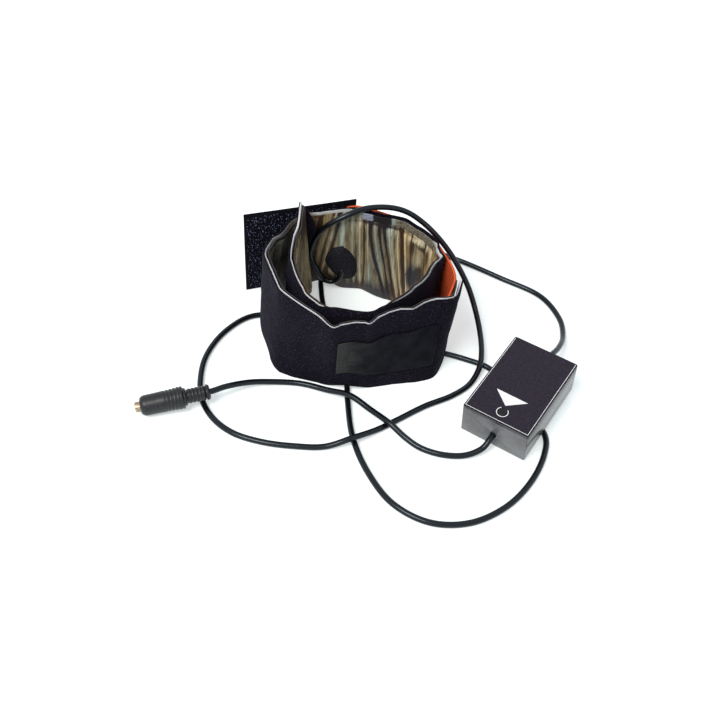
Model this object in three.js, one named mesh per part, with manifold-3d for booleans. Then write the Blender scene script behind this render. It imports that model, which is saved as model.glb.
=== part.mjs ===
// Dew heater strip for a telescope tube: a fabric band with a flat heating
// ribbon sewn inside it, wound into a standing coil, with its elastic strap and
// hook tab, a small control box with one push button, and two thin leads.
// Millimetres, +Z up, floor at z = 0, origin at the middle of the footprint.
import * as THREE from 'three';
import { mergeVertices } from 'three/addons/utils/BufferGeometryUtils.js';
import Module from 'manifold-3d';

const wasm = await Module();
wasm.setup();

// Clearance between pieces that rest against each other
const seatGap = 0.3;

// Fabric strip: width and the thickness of each layer, from the outside in
const stripWidth = 55;
const coverThickness = 0.7;
const coreThickness = 0.9;
const ribbonThickness = 0.3;
const ribbonGap = 0.35;
const liningThickness = 0.4;
const coreProud = 0.4;
const hemStep = 0.5;

// Heating ribbon: one hairpin of flat ribbon that starts under the lead's entry
const ribbonWidth = 3;
const ribbonSpacing = 26;
const ribbonEndMargin = 24;

// Things sewn or stuck on the strip, each at its distance from the outer end
const labelAt = 47.6;
const labelLength = 54;
const labelHeight = 28;
const labelThickness = 0.4;
const entryAt = 206;
const entryHeight = 18.5;
const entryWidth = 18.8;
const entryLength = 23.5;
const entryOutline = [
  [0, 0.53], [-0.27, 0.4], [-0.48, 0.11], [-0.51, -0.09], [-0.32, -0.36], [0, -0.47], [0.31, -0.47],
  [0.46, -0.3], [0.49, 0], [0.3, 0.3],
];
const entryDome = 4.6;
const tapeFrom = 217;
const tapeTo = 268;
const tapeWidth = 4.5;
const tapeThickness = 0.6;

// Elastic strap and hook tab
const elasticWidth = 50;
const elasticThickness = 1.0;
const elasticBase = 2;
const tabHeight = 55.5;
const tabThickness = 1.3;

// Leads
const leadDiameter = 3.2;
const coreWireDiameter = 1.3;
const leadStep = 2;

// Control box
const caseWidth = 37;
const caseLength = 56;
const caseHeight = 20;
const caseWall = 1.8;
const caseCorner = 0.8;
const lidThickness = 1.3;
const lipDepth = 1.5;
const lipWall = 1.2;
const filmThickness = 0.2;
const filmInset = 0.3;
const caseTurn = THREE.MathUtils.degToRad(-30.34);

// Push button and the switch under it
const buttonX = 0.3;
const buttonInset = 6.8;
const buttonDiameter = 4.6;
const buttonCollar = 6;
const collarThickness = 1.2;
const buttonProud = 0.3;
const buttonTravel = 0.5;
const switchSize = 6;
const switchHeight = 3.1;

// Circuit board on four posts
const boardMargin = 1.2;
const boardThickness = 1.6;
const postInsetX = 2.5;
const postInsetY = 10;
const screwDiameter = 1.8;
const screwHeadDiameter = 3.6;
const screwLength = 6;

// Plug
const barrelDiameter = 5.5;
const barrelBore = 4.5;
const barrelShows = 4;
const shellDiameter = 11.5;
const shellLength = 22.3;
const bootLength = 11;
const bootDiameter = 8.4;
const bootTip = 7;

// Meshes and solids

function add(name, geometry, color, roughness, metalness, parent = part) {
  const material = new THREE.MeshStandardMaterial({ color, roughness, metalness });
  const mesh = new THREE.Mesh(geometry, material);
  mesh.name = name;
  parent.add(mesh);
  return mesh;
}

function toSolid(geometry) {
  const bare = geometry.clone();
  bare.deleteAttribute('normal');
  bare.deleteAttribute('uv');
  const merged = mergeVertices(bare, 1e-5);
  const mesh = new wasm.Mesh({
    numProp: 3,
    vertProperties: new Float32Array(merged.attributes.position.array),
    triVerts: new Uint32Array(merged.index.array),
  });
  return new wasm.Manifold(mesh);
}

function toGeometry(solid) {
  const mesh = solid.getMesh();
  const geometry = new THREE.BufferGeometry();
  geometry.setAttribute('position', new THREE.BufferAttribute(mesh.vertProperties, 3));
  geometry.setIndex(new THREE.BufferAttribute(mesh.triVerts, 1));
  return geometry;
}

function cut(geometry, ...tools) {
  return toGeometry(tools.reduce((body, tool) => body.subtract(toSolid(tool)), toSolid(geometry)));
}

function join(geometry, ...others) {
  return toGeometry(others.reduce((body, other) => body.add(toSolid(other)), toSolid(geometry)));
}

// Moves every vertex of a geometry to map(x, y, z)
function shaped(geometry, map) {
  const position = geometry.attributes.position;
  for (let i = 0; i < position.count; i += 1) {
    const p = map(position.getX(i), position.getY(i), position.getZ(i));
    position.setXYZ(i, p.x, p.y, p.z);
  }
  return geometry;
}

function block(width, length, height, x, y, z) {
  return new THREE.BoxGeometry(width, length, height).translate(x, y, z + height / 2);
}

// Upright cylinder that stands on z
function pin(diameter, height, x, y, z, sides = 20) {
  const round = new THREE.CylinderGeometry(diameter / 2, diameter / 2, height, sides);
  return round.rotateX(Math.PI / 2).translate(x, y, z + height / 2);
}

// Cylinder along Y, centred on y
function rod(diameter, length, x, y, z, sides = 20) {
  return new THREE.CylinderGeometry(diameter / 2, diameter / 2, length, sides).translate(x, y, z);
}

function roundedPlate(width, length, corner, thickness, z) {
  const w = width / 2;
  const l = length / 2;
  const outline = new THREE.Shape();
  outline.moveTo(-w + corner, -l);
  outline.lineTo(w - corner, -l);
  outline.absarc(w - corner, -l + corner, corner, -Math.PI / 2, 0);
  outline.lineTo(w, l - corner);
  outline.absarc(w - corner, l - corner, corner, 0, Math.PI / 2);
  outline.lineTo(-w + corner, l);
  outline.absarc(-w + corner, l - corner, corner, Math.PI / 2, Math.PI);
  outline.lineTo(-w, -l + corner);
  outline.absarc(-w + corner, -l + corner, corner, Math.PI, 1.5 * Math.PI);
  const options = { depth: thickness, bevelEnabled: false, curveSegments: 3 };
  return new THREE.ExtrudeGeometry(outline, options).translate(0, 0, z);
}

// Body of revolution about X from a closed list of [along, radius] points
function turned(profile, sides = 24) {
  const points = [...profile, profile[0]].map(([along, radius]) => new THREE.Vector2(radius, along));
  return new THREE.LatheGeometry(points, sides).rotateZ(-Math.PI / 2);
}

// Round tube with one straight step between neighbouring points of the route
class Route extends THREE.CatmullRomCurve3 {
  getPointAt(u) {
    return this.getPoint(u);
  }

  getTangentAt(u) {
    return this.getTangent(u);
  }
}

function tube(route, diameter, stepsPerPoint = 1) {
  const points = route.map(([x, y, z]) => new THREE.Vector3(x, y, z));
  const section = new THREE.Shape();
  for (let i = 0; i < 8; i += 1) {
    const a = (i / 8) * 2 * Math.PI;
    const corner = [Math.cos(a) * diameter / 2, Math.sin(a) * diameter / 2];
    if (i === 0) section.moveTo(...corner);
    else section.lineTo(...corner);
  }
  return new THREE.ExtrudeGeometry(section, {
    steps: (points.length - 1) * stepsPerPoint,
    extrudePath: new Route(points, false, 'centripetal'),
  });
}

// The heater lead runs along the floor under the fabric at these places, where
// the bottom edge of whatever stands there arches over it.
const leadUnderFabric = [
  [-80.5, 19.6], [-66.3, 19], [12.5, 5], [19.5, 3.9], [23, 3.3],
  [-28.4, -26.5], [-30.2, -20.5], [-49.8, 54], [-50.3, 60],
];
const archHeight = leadDiameter + 3 * seatGap;
const archReach = 13;

function archAt(x, y) {
  const lifts = leadUnderFabric.map(([cx, cy]) => {
    const d = Math.min(Math.hypot(x - cx, y - cy) / archReach, 1);
    return archHeight * (1 - d * d) ** 2;
  });
  return Math.max(...lifts);
}

// A standing run of sheet between a foot line and a top line, both given at the
// same stations. at(s, h, n): s along the run, h up it, n out from its middle.
function standingRun(footPoints, topPoints, height) {
  const curve = (points) => new THREE.CatmullRomCurve3(points, false, 'centripetal');
  const foot = curve(footPoints);
  const top = curve(topPoints);
  const middle = curve(footPoints.map((p, i) => new THREE.Vector3().lerpVectors(p, topPoints[i], 0.5)));
  middle.arcLengthDivisions = 1000;
  const length = middle.getLength();
  function at(s, h, n) {
    const t = middle.getUtoTmapping(THREE.MathUtils.clamp(s / length, 0, 1));
    const along = middle.getTangent(t);
    const out = new THREE.Vector3(-along.y, along.x, 0).normalize();
    const low = foot.getPoint(t);
    const high = top.getPoint(t);
    low.z = Math.max(low.z, archAt(low.x, low.y));
    return low.lerp(high, h / height).addScaledVector(out, n);
  }
  return { length, height, at };
}

// Flat sheet in small rectangles, both faces split along the same diagonals, so
// that neighbouring layers keep their gap where a run twists
function flatSheet(length, height, thickness, steps, rows) {
  const flat = new THREE.BoxGeometry(length, height, thickness, steps, rows, 1);
  const { start, count } = flat.groups[5];
  for (let i = start; i < start + count; i += 6) {
    const [a, b, d, , c] = [0, 1, 2, 3, 4].map((k) => flat.index.getX(i + k));
    [a, b, c, a, c, d].forEach((corner, k) => flat.index.setX(i + k, corner));
  }
  return flat;
}

// Sheet on a run from s0 to s1, h0 to h1 and n0 to n1, curved with the run
function sheet(run, [s0, s1], [h0, h1], [n0, n1], stepLength = 4, rows = 3) {
  const steps = Math.max(1, Math.ceil((s1 - s0) / stepLength));
  const flat = flatSheet(s1 - s0, rows, n1 - n0, steps, rows);
  return shaped(flat, (x, y, z) => {
    const row = Math.round(y + rows / 2);
    const level = run.height * (row / rows);
    const h = row === 0 ? h0 : row === rows ? h1 : THREE.MathUtils.clamp(level, h0, h1);
    return run.at(x + (s0 + s1) / 2, h, (n0 + n1) / 2 - z);
  });
}

const part = new THREE.Group();

// Fabric strip. The coil as it stands, from the free outer end on the right,
// clockwise round the outer turn, then round the inner turn to its inner end.
// Each station is foot x, foot y, top x, top y, and the rise of the top edge
// above the strip's width.
const coil = [
  [22.6, 6, 25.4, 6.1, 0], [20.5, -4, 24, -2.5, 0], [16.5, -12.3, 19.8, -7.8, 0],
  [9, -17.5, 9.5, -13, 0], [-2, -21, -1, -18.5, 0], [-11, -23, -11.5, -23, 0],
  [-20, -25, -19.2, -30, -1.5], [-29, -26.3, -28, -31.3, -1], [-38, -26, -37.5, -33.4, -2.5],
  [-48, -24.3, -46, -27.3, -1], [-58, -21.5, -56, -19, 0], [-65.3, -16, -64.2, -12, 0],
  [-71, -7.5, -70.3, -3, 0], [-76, 3, -75, 6.5, 0], [-79.7, 13, -77, 14.5, 0],
  [-80.5, 24, -75, 24, -0.5], [-77.5, 35, -71.5, 34, -1], [-71, 44, -68.5, 43.5, -1],
  [-62, 50.2, -60.7, 51.4, -0.5], [-51, 54, -50.5, 53.2, 0], [-40, 54.2, -41, 55.7, 0],
  [-28, 53.3, -30, 57.9, 0], [-18, 50, -20, 57, 0], [-7, 46.5, -8.4, 52.6, 0],
  [3, 40.5, 2.8, 46.2, 0], [9.3, 33, 9.2, 39, 0], [12, 24.5, 13.3, 31.5, 0],
  [13, 15.5, 14.9, 22.5, 0.5], [11.6, 6.5, 12.3, 14, 0], [7, -1.5, 7.3, 4.3, 0],
  [-0.5, -9, 0.2, -5.8, 0], [-9, -15, -7.2, -12.6, 0], [-18, -18.5, -15, -19, 0],
  [-28, -20, -23.5, -23.6, 0], [-38, -19.5, -35.5, -23.4, 0], [-48, -16.5, -44.5, -20.8, 0],
  [-56.3, -10.5, -53, -13, 0], [-62, -2, -59, -2, 0], [-65.5, 9, -63, 10, 0],
  [-66.8, 21, -64.8, 22, 0], [-65.3, 32.5, -64.6, 33, 1], [-62, 39, -63.8, 38.8, 4.5],
  [-56.4, 44.3, -63.2, 43.8, 11.2],
];
const strip = standingRun(
  coil.map(([x, y]) => new THREE.Vector3(x, y, 0)),
  coil.map(([, , x, y, rise]) => new THREE.Vector3(x, y, stripWidth + rise)),
  stripWidth,
);

// Layers across the strip's thickness, n = 0 at its middle, positive outwards
const stripThickness = coverThickness + seatGap + coreThickness + 2 * ribbonGap
  + ribbonThickness + liningThickness;
const coverOut = stripThickness / 2;
const coverIn = coverOut - coverThickness;
const coreOut = coverIn - seatGap;
const coreIn = coreOut - coreThickness;
const ribbonOut = coreIn - ribbonGap;
const ribbonIn = ribbonOut - ribbonThickness;
const liningOut = ribbonIn - ribbonGap;
const liningIn = liningOut - liningThickness;
const wholeStrip = [0, strip.length];

add('cover_cloth', sheet(strip, wholeStrip, [0, stripWidth], [coverIn, coverOut]), 0x16151a, 0.95, 0);
add('insulation_core', sheet(strip, wholeStrip, [hemStep, stripWidth + coreProud], [coreIn, coreOut]),
  0xe4e6ea, 0.8, 0);
add('lining_cloth', sheet(strip, wholeStrip, [hemStep, stripWidth - hemStep], [liningIn, liningOut]),
  0x8f8768, 0.45, 0);

// The ribbon leaves the lead's entry along the lower line, turns near the inner
// end, and comes back along the upper line.
const ribbonPath = new THREE.Path();
const ribbonMiddle = stripWidth / 2;
const ribbonTurnAt = strip.length - ribbonEndMargin - ribbonSpacing / 2;
ribbonPath.moveTo(entryAt, ribbonMiddle - ribbonSpacing / 2);
ribbonPath.lineTo(ribbonTurnAt, ribbonMiddle - ribbonSpacing / 2);
ribbonPath.absarc(ribbonTurnAt, ribbonMiddle, ribbonSpacing / 2, -Math.PI / 2, Math.PI / 2);
ribbonPath.lineTo(entryAt, ribbonMiddle + ribbonSpacing / 2);
const ribbonSteps = Math.ceil(ribbonPath.getLength() / 4);
const ribbonBox = flatSheet(1, ribbonWidth, ribbonThickness, ribbonSteps, 1);
add('heating_ribbon', shaped(ribbonBox, (x, y, z) => {
  const p = ribbonPath.getPointAt(x + 0.5);
  const d = ribbonPath.getTangentAt(x + 0.5);
  return strip.at(p.x - d.y * y, p.y + d.x * y, (ribbonOut + ribbonIn) / 2 - z);
}), 0xb8b4ac, 0.35, 1);

// Blank label film on the front of the outer turn
const labelBox = flatSheet(labelLength, labelHeight, labelThickness, 28, 2);
add('label_patch', shaped(labelBox, (x, y, z) => strip.at(
  labelAt + x,
  stripWidth * 0.47 + y,
  coverOut + 1.5 * seatGap + labelThickness / 2 - z,
)), 0x3c3c44, 0.5, 0);

// Grey binding tape sewn along the top of the lining on the back wall
const tapeTop = stripWidth - hemStep;
add('binding_tape', sheet(strip, [tapeFrom, tapeTo], [tapeTop - tapeWidth, tapeTop],
  [liningIn - seatGap - tapeThickness, liningIn - seatGap], 4, 1), 0x6d7078, 0.6, 0);

// Heater lead, from its entry in the strip to the box, as it lies. Points are
// chosen by hand; heights show where it hangs, crosses and passes underneath.
const onFloor = leadDiameter / 2 + 0.05;
const onLead = onFloor + leadDiameter + 1.5 * seatGap;
const heaterLeadRoute = [
  [-37.9, 49.6, 15.5], [-38.7, 48.9, 10.6], [-41.3, 48.6, 7.2], [-44.8, 48.6, 6.2],
  [-48.3, 48.6, 7.4], [-50.7, 48.6, 10.7], [-54.2, 48.5, 18.2], [-56.7, 48.4, 25.2],
  [-55.9, 48.4, 33], [-52.7, 48.4, 41.4], [-46.6, 48, 49.2],
  [-38.5, 49.7, 54.4], [-28, 54, 57.7], [-14.2, 57.3, 57.7], [-4.3, 57.9, 55.3],
  [5, 55.8, 50.9], [13.4, 51.2, 46.2], [21.8, 47.8, 38.2], [29.3, 44.5, 28.6],
  [35.7, 39.3, 19.5], [40.7, 30.9, 11], [43.8, 18.2, 6.4], [44.6, 3, onLead],
  [43.4, -7.5, 4.2], [38.5, -17.8, onFloor], [29, -27.4, onFloor], [14, -37, onFloor],
  [0, -48, onFloor], [-9.5, -55.6, 2], [-22.4, -65.6, onLead], [-36, -70.2, 2],
  [-51, -71.5, onFloor], [-68, -70.8, onFloor], [-83.5, -66.8, onFloor], [-95, -58.6, onFloor],
  [-103, -46.4, onFloor], [-106.5, -31, onFloor], [-106.3, -15.5, onFloor], [-100.3, 2.2, onFloor],
  [-89.5, 16, onFloor], [-80.5, 19.9, onFloor], [-66.3, 19, onFloor], [-43, 13.3, onFloor],
  [-14, 8.6, onFloor], [12.5, 5.2, onFloor], [23, 3.4, onFloor], [36, 0.2, onFloor],
  [48.8, -4.7, onFloor], [57, -14.5, onFloor], [68, -31.8, onFloor], [77.3, -49.5, onFloor],
  [76.2, -61, onFloor], [68.5, -79, onFloor], [55, -96, onFloor], [37, -107.2, onFloor],
  [18, -109, onFloor], [0, -100.5, onFloor], [-13.5, -83, onFloor], [-22.4, -62.5, onFloor],
  [-27, -38, onFloor], [-28.4, -26.5, onFloor], [-30.4, -19, onFloor], [-36, -1, 2.6],
  [-41.2, 12.9, onLead], [-45.5, 27, 2.4], [-49, 43, onFloor], [-50.2, 60, onFloor],
  [-42, 79, onFloor], [-22, 91, onFloor], [4, 93.5, onFloor], [30.8, 85.1, onFloor],
  [58.4, 71.4, onFloor], [82.2, 58.1, onFloor], [92, 40.5, onFloor], [92.2, 23.5, 4],
  [87.5, 9, 9.2],
];

// Control box. It lies over the heater lead, so its low corner is on the floor
// and its underside on the lead, which passes under it from one long side to
// the other. Its own frame: x across, y along, z up, from the underside.
const passLeft = 14;
const passRight = -6.2;
const passLine = new THREE.Vector2(caseWidth, passRight - passLeft).normalize();
const upHill = new THREE.Vector2(-passLine.y, passLine.x);
const lowCorner = new THREE.Vector2(-caseWidth / 2, -caseLength / 2);
const reach = new THREE.Vector2(-caseWidth / 2, passLeft).sub(lowCorner).dot(upHill);
const caseTilt = Math.asin((2 * onFloor + seatGap) / reach);
const lowCornerPlace = new THREE.Vector3(33.3, -48, 0.01);

const controller = new THREE.Group();
controller.quaternion.setFromAxisAngle(new THREE.Vector3(0, 0, 1), caseTurn);
controller.quaternion.multiply(new THREE.Quaternion().setFromAxisAngle(
  new THREE.Vector3(passLine.x, passLine.y, 0), caseTilt));
const cornerOffset = new THREE.Vector3(lowCorner.x, lowCorner.y, 0).applyQuaternion(controller.quaternion);
controller.position.copy(lowCornerPlace).sub(cornerOffset);
part.add(controller);

// A point of the box's own frame, as [x, y, z] of the whole part
function inCase(x, y, z) {
  return new THREE.Vector3(x, y, z).applyQuaternion(controller.quaternion)
    .add(controller.position).toArray();
}

const shellHeight = caseHeight - filmThickness - lidThickness - 2 * seatGap;
const lidBase = shellHeight + seatGap;
const cavityWidth = caseWidth - 2 * caseWall;
const cavityLength = caseLength - 2 * caseWall;
const leadHole = leadDiameter + 2 * seatGap;
const jacketEnd = caseLength / 2 - caseWall - 5.8;
const boardWidth = cavityWidth - 2 * boardMargin;
const boardLength = cavityLength - 2 * boardMargin;
const postX = boardWidth / 2 - postInsetX;
const postY = boardLength / 2 - postInsetY;
const posts = [[-postX, -postY], [postX, -postY], [-postX, postY], [postX, postY]];

// Heights from the lid down: button, its travel, switch, board, then the ties
// that hang the leads under the board
const buttonY = buttonInset - caseLength / 2;
const collarTop = lidBase - seatGap;
const buttonBase = collarTop - collarThickness;
const switchTop = buttonBase - buttonTravel - seatGap;
const onBoard = switchTop - switchHeight;
const boardTop = onBoard - seatGap;
const boardRise = boardTop - boardThickness;
const underBoard = boardRise - seatGap;
const tieInner = leadDiameter + 2 * seatGap;
const tieOuter = tieInner + 1.6;
const leadEntryHeight = underBoard - tieOuter / 2;
const postTop = boardRise - seatGap;
const screwBore = screwDiameter + 2 * seatGap;

let shell = cut(
  roundedPlate(caseWidth, caseLength, caseCorner, shellHeight, 0),
  block(cavityWidth, cavityLength, shellHeight, 0, 0, caseWall),
  rod(leadHole, caseLength + 2, 0, 0, leadEntryHeight),
);
shell = join(shell, ...posts.map(([x, y]) => pin(screwBore + 2, postTop - caseWall / 2, x, y, caseWall / 2)));
shell = cut(shell, ...posts.map(([x, y]) => pin(screwBore, postTop, x, y, postTop - screwLength)));
add('case_shell', shell, 0x2b2c30, 0.5, 0, controller);

const lipWidth = cavityWidth - 2 * seatGap;
const lipLength = cavityLength - 2 * seatGap;
const lip = cut(
  block(lipWidth, lipLength, lipDepth + 0.5, 0, 0, lidBase - lipDepth),
  block(lipWidth - 2 * lipWall, lipLength - 2 * lipWall, lipDepth + 2, 0, 0, lidBase - lipDepth - 1),
);
const buttonHole = buttonDiameter + 2 * seatGap;
const lid = cut(
  join(roundedPlate(caseWidth, caseLength, caseCorner, lidThickness, lidBase), lip),
  pin(buttonHole, caseHeight, buttonX, buttonY, lidBase - lipDepth, 28),
);
add('case_lid', lid, 0x202125, 0.45, 0, controller);

const film = cut(
  roundedPlate(caseWidth - 2 * filmInset, caseLength - 2 * filmInset, caseCorner, filmThickness,
    caseHeight - filmThickness),
  pin(buttonHole, caseHeight, buttonX, buttonY, lidBase, 28),
);
add('lid_label', film, 0x2a2430, 0.35, 0, controller);

// Board, its four screws and what is soldered to it
const board = cut(
  block(boardWidth, boardLength, boardThickness, 0, 0, boardRise),
  ...posts.map(([x, y]) => pin(screwBore, caseHeight, x, y, caseWall)),
);
add('circuit_board', board, 0x2c6b3a, 0.5, 0, controller);
posts.forEach(([x, y], i) => {
  const head = pin(screwHeadDiameter, 1.2, x, y, boardTop + seatGap, 16);
  const shaft = pin(screwDiameter, screwLength - 1, x, y, boardTop + seatGap - (screwLength - 1) + 0.1, 12);
  add(`board_screw_${i + 1}`, join(head, shaft), 0xb9bcc2, 0.3, 1, controller);
});

add('button_switch', join(
  block(switchSize, switchSize, switchHeight - 0.6, buttonX, buttonY, onBoard),
  pin(3.4, 1, buttonX, buttonY, switchTop - 1, 16),
), 0x1b1b1e, 0.4, 0, controller);
add('microcontroller', block(9.5, 6.4, 2.4, boardWidth * 0.06, boardLength * 0.06, onBoard), 0x141416, 0.4, 0, controller);
add('voltage_regulator', block(6.6, 6, 2.3, -boardWidth * 0.18, boardLength * 0.28, onBoard), 0x19191c, 0.4, 0, controller);
add('power_transistor', block(10, 9, 4.2, -boardWidth * 0.26, -boardLength * 0.04, underBoard - 4.2), 0x18181b, 0.4, 0, controller);
add('smoothing_capacitor', rod(5, 9, boardWidth * 0.27, boardLength * 0.04, underBoard - 2.5), 0x26355f, 0.35, 0, controller);

// Button: a stem through the lid with a collar that stops it under the lid
add('push_button', join(
  pin(buttonCollar, collarThickness, buttonX, buttonY, buttonBase, 28),
  pin(buttonDiameter, caseHeight + buttonProud - buttonBase, buttonX, buttonY, buttonBase, 28),
), 0x141417, 0.35, 0, controller);

// Each lead is held just inside the wall by a nylon tie, and its two cores go
// up to the board.
const tieWidth = 2.4;
const ends = [['power', -1], ['heater', 1]];
ends.forEach(([lead, side]) => {
  const tieY = side * (caseLength / 2 - caseWall - 2.2);
  const band = cut(
    join(rod(tieOuter, tieWidth, 0, tieY, leadEntryHeight),
      block(3.6, tieWidth, 3, tieOuter / 2 + 1, tieY, leadEntryHeight - 1.5)),
    rod(tieInner, tieWidth + 1, 0, tieY, leadEntryHeight),
  );
  add(`${lead}_lead_tie`, band, 0xe8e6df, 0.5, 0, controller);
  const colours = [['red', 0xb02a24], ['black', 0x1a1a1c]];
  colours.forEach(([colour, tint], i) => {
    const x = (i * 2 - 1) * 0.85;
    const y = side * (jacketEnd - seatGap);
    const wire = [
      [x, y, leadEntryHeight], [x * 1.3, y - side * 3, leadEntryHeight + 0.2],
      [x * 1.7, y - side * 5, leadEntryHeight + 1.2], [x * 1.8, y - side * 5.6, underBoard - 0.2],
    ];
    add(`${lead}_core_${colour}`, tube(wire, coreWireDiameter, 3), tint, 0.45, 0, controller);
  });
});

// Plug, in its own frame along X from the front face of the shell, lying with
// its tail up on the heater lead
const plug = new THREE.Group();
plug.position.set(-130.7, -58.4, shellDiameter / 2 + 0.1);
plug.rotation.set(0, THREE.MathUtils.degToRad(-5.4), THREE.MathUtils.degToRad(18.8), 'ZYX');
part.add(plug);
plug.updateMatrixWorld(true);

function onPlug(along) {
  return new THREE.Vector3(along, 0, 0).applyMatrix4(plug.matrixWorld).toArray();
}

const barrelR = barrelDiameter / 2;
const boreR = barrelBore / 2;
const shellR = shellDiameter / 2;
const leadBore = leadDiameter / 2 + seatGap;
const seatDepth = 7;
add('plug_barrel', turned([
  [-barrelShows, boreR], [-barrelShows + 0.3, barrelR], [seatDepth, barrelR], [seatDepth, boreR],
]), 0xc9c6bf, 0.25, 1, plug);
const contactR = 1.25;
add('plug_insulator', turned([
  [-barrelShows + 0.6, contactR + seatGap], [-barrelShows + 0.6, boreR - seatGap],
  [seatDepth, boreR - seatGap], [seatDepth, contactR + seatGap],
]), 0x1c1c1f, 0.5, 0, plug);
add('plug_contact', turned([
  [-barrelShows + 1, contactR - 0.35], [-barrelShows + 1, contactR], [seatDepth, contactR],
  [seatDepth, contactR - 0.35],
]), 0xb9a26a, 0.3, 1, plug);
const socketEnd = seatDepth + seatGap;
add('plug_shell', turned([
  [0, barrelR + seatGap], [0, shellR - 0.5], [0.5, shellR], [shellLength * 0.54, shellR - 0.1],
  [shellLength - 0.8, bootDiameter / 2 + 0.6], [shellLength, bootDiameter / 2 + 0.2],
  [shellLength, leadBore], [socketEnd + 2, leadBore], [socketEnd, barrelR + seatGap],
], 28), 0x17171a, 0.45, 0, plug);

// Boot of five rings with grooves between them, smaller towards its mouth
const bootProfile = [];
const bootStart = shellLength + seatGap;
const rings = 5;
const ringPitch = bootLength / rings;
for (let i = 0; i < rings; i += 1) {
  const r = THREE.MathUtils.lerp(bootDiameter, bootTip, i / (rings - 1)) / 2;
  const x = bootStart + i * ringPitch;
  bootProfile.push([x, r], [x + ringPitch * 0.6, r], [x + ringPitch * 0.68, r - 0.7]);
  if (i < rings - 1) bootProfile.push([x + ringPitch * 0.94, r - 0.7]);
}
bootProfile.push([bootStart + bootLength, leadBore], [bootStart, leadBore]);
add('plug_boot', turned(bootProfile, 20), 0x1a1a1d, 0.6, 0, plug);

// Power lead, from inside the box to inside the plug
const powerLeadRoute = [
  inCase(0, -jacketEnd, leadEntryHeight),
  inCase(0, -caseLength / 2 - 2, leadEntryHeight),
  [43.6, -64.1, 5], [35.5, -67.3, 2.2], [24, -68, onFloor], [12.5, -65, onFloor],
  [4.4, -60.2, 2.8], [-3.9, -54.1, onLead], [-14.4, -45.5, 4.6], [-26.4, -37.4, onLead],
  [-38, -33.3, 2.9], [-53, -29.4, onFloor], [-68.4, -30.6, 2.2], [-80, -35, 5],
  [-91, -42.3, 8.3],
  onPlug(bootStart + bootLength + 1.5),
  onPlug(socketEnd + 3),
];
add('power_lead', tube(powerLeadRoute, leadDiameter, 1), 0x1c1d22, 0.4, 0);

heaterLeadRoute.push(
  inCase(0, caseLength / 2 + 5, leadEntryHeight),
  inCase(0, jacketEnd, leadEntryHeight),
);
add('heater_lead', tube(heaterLeadRoute, leadDiameter, 1), 0x1c1d22, 0.4, 0);

// Moulded patch on the lining where the heater lead goes into the strip: a low
// dome over its outline, bent to the wall that it sits on
const entryEdge = new THREE.CatmullRomCurve3(
  entryOutline.map(([s, h]) => new THREE.Vector3(s * entryWidth, h * entryLength, 0)), true, 'centripetal');
const domeProfile = [[0, 0], [0, 1], [0.5, 0.99], [entryDome * 0.6, 0.66],
  [entryDome * 0.9, 0.36], [entryDome, 0]];
const dome = shaped(turned(domeProfile, 28), (x, y, z) => {
  const turn = Math.atan2(z, y) / (2 * Math.PI) - 0.25;
  const edge = entryEdge.getPoint(((turn % 1) + 1) % 1);
  const share = Math.hypot(y, z);
  return strip.at(entryAt + edge.x * share, entryHeight + edge.y * share, liningIn - seatGap - x);
});
const leadBoreRoute = heaterLeadRoute.slice(0, 3).map(([x, y, z]) => [x, y, z]);
const inward = new THREE.Vector3(...leadBoreRoute[0]).sub(new THREE.Vector3(...leadBoreRoute[1]));
inward.setLength(seatGap);
leadBoreRoute[0] = new THREE.Vector3(...leadBoreRoute[0]).add(inward).toArray();
add('lead_entry_dome', cut(dome, tube(leadBoreRoute, leadDiameter + 2 * seatGap, 1)), 0x24262c, 0.6, 0);

// Elastic strap: sewn inside the free outer end, it goes round the back of the
// coil on the outside and ends on the front of the hook tab.
const elasticFoot = [
  [17.4, -4], [19, 2], [20.4, 7], [21, 14], [19.4, 23.5], [15.8, 32.8], [12, 40.4],
];
const elasticTop = [
  [20.1, -4], [22, 3], [23.4, 9], [23, 15], [20.4, 23.5], [16, 32.8], [12, 40.4],
];
const elasticBack = [
  [5.2, 48.4], [-5, 55.2], [-14.2, 58.6], [-23, 61.3], [-33, 63.4], [-46, 58.4],
];
const elasticEdge = (plan, z) => [...plan, ...elasticBack].map(([x, y]) => new THREE.Vector3(x, y, z));
const elastic = standingRun(elasticEdge(elasticFoot, elasticBase),
  elasticEdge(elasticTop, elasticBase + elasticWidth), elasticWidth);
add('elastic_strap', sheet(elastic, [0, elastic.length], [0, elasticWidth],
  [-elasticThickness / 2, elasticThickness / 2], 3.5, 3), 0xdc5a3c, 0.7, 0);

const tabPlan = [[-93.4, 41.4], [-33.3, 65.4]];
const tabAt = (z) => tabPlan.map(([x, y]) => new THREE.Vector3(x, y, z));
const tabRun = standingRun(tabAt(0), tabAt(tabHeight), tabHeight);
add('hook_tab', sheet(tabRun, [0, tabRun.length], [0, tabHeight],
  [-tabThickness / 2, tabThickness / 2], 4, 1), 0x15151a, 0.9, 0);

// The inner end's loose corner, turned over so that its pile side shows
const flapThickness = 1.1;
const flapHeight = 20;
const flapCorners = [
  [[-59.8, 44.5, 37.4], [-62.6, 44.4, 64.8]], [[-58.2, 44.8, 35.6], [-60.3, 44.7, 62]],
  [[-56.6, 44.9, 39.5], [-56.5, 44.8, 56.2]], [[-53.8, 45, 45.4], [-53.3, 45, 47.6]],
];
const flap = standingRun(...[0, 1].map((edge) => flapCorners.map((pair) => new THREE.Vector3(...pair[edge]))),
  flapHeight);
add('turned_corner', sheet(flap, [0, flap.length], [0, flapHeight],
  [-flapThickness / 2, flapThickness / 2], 4, 2), 0x16151a, 0.95, 0);

export default part;
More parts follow.
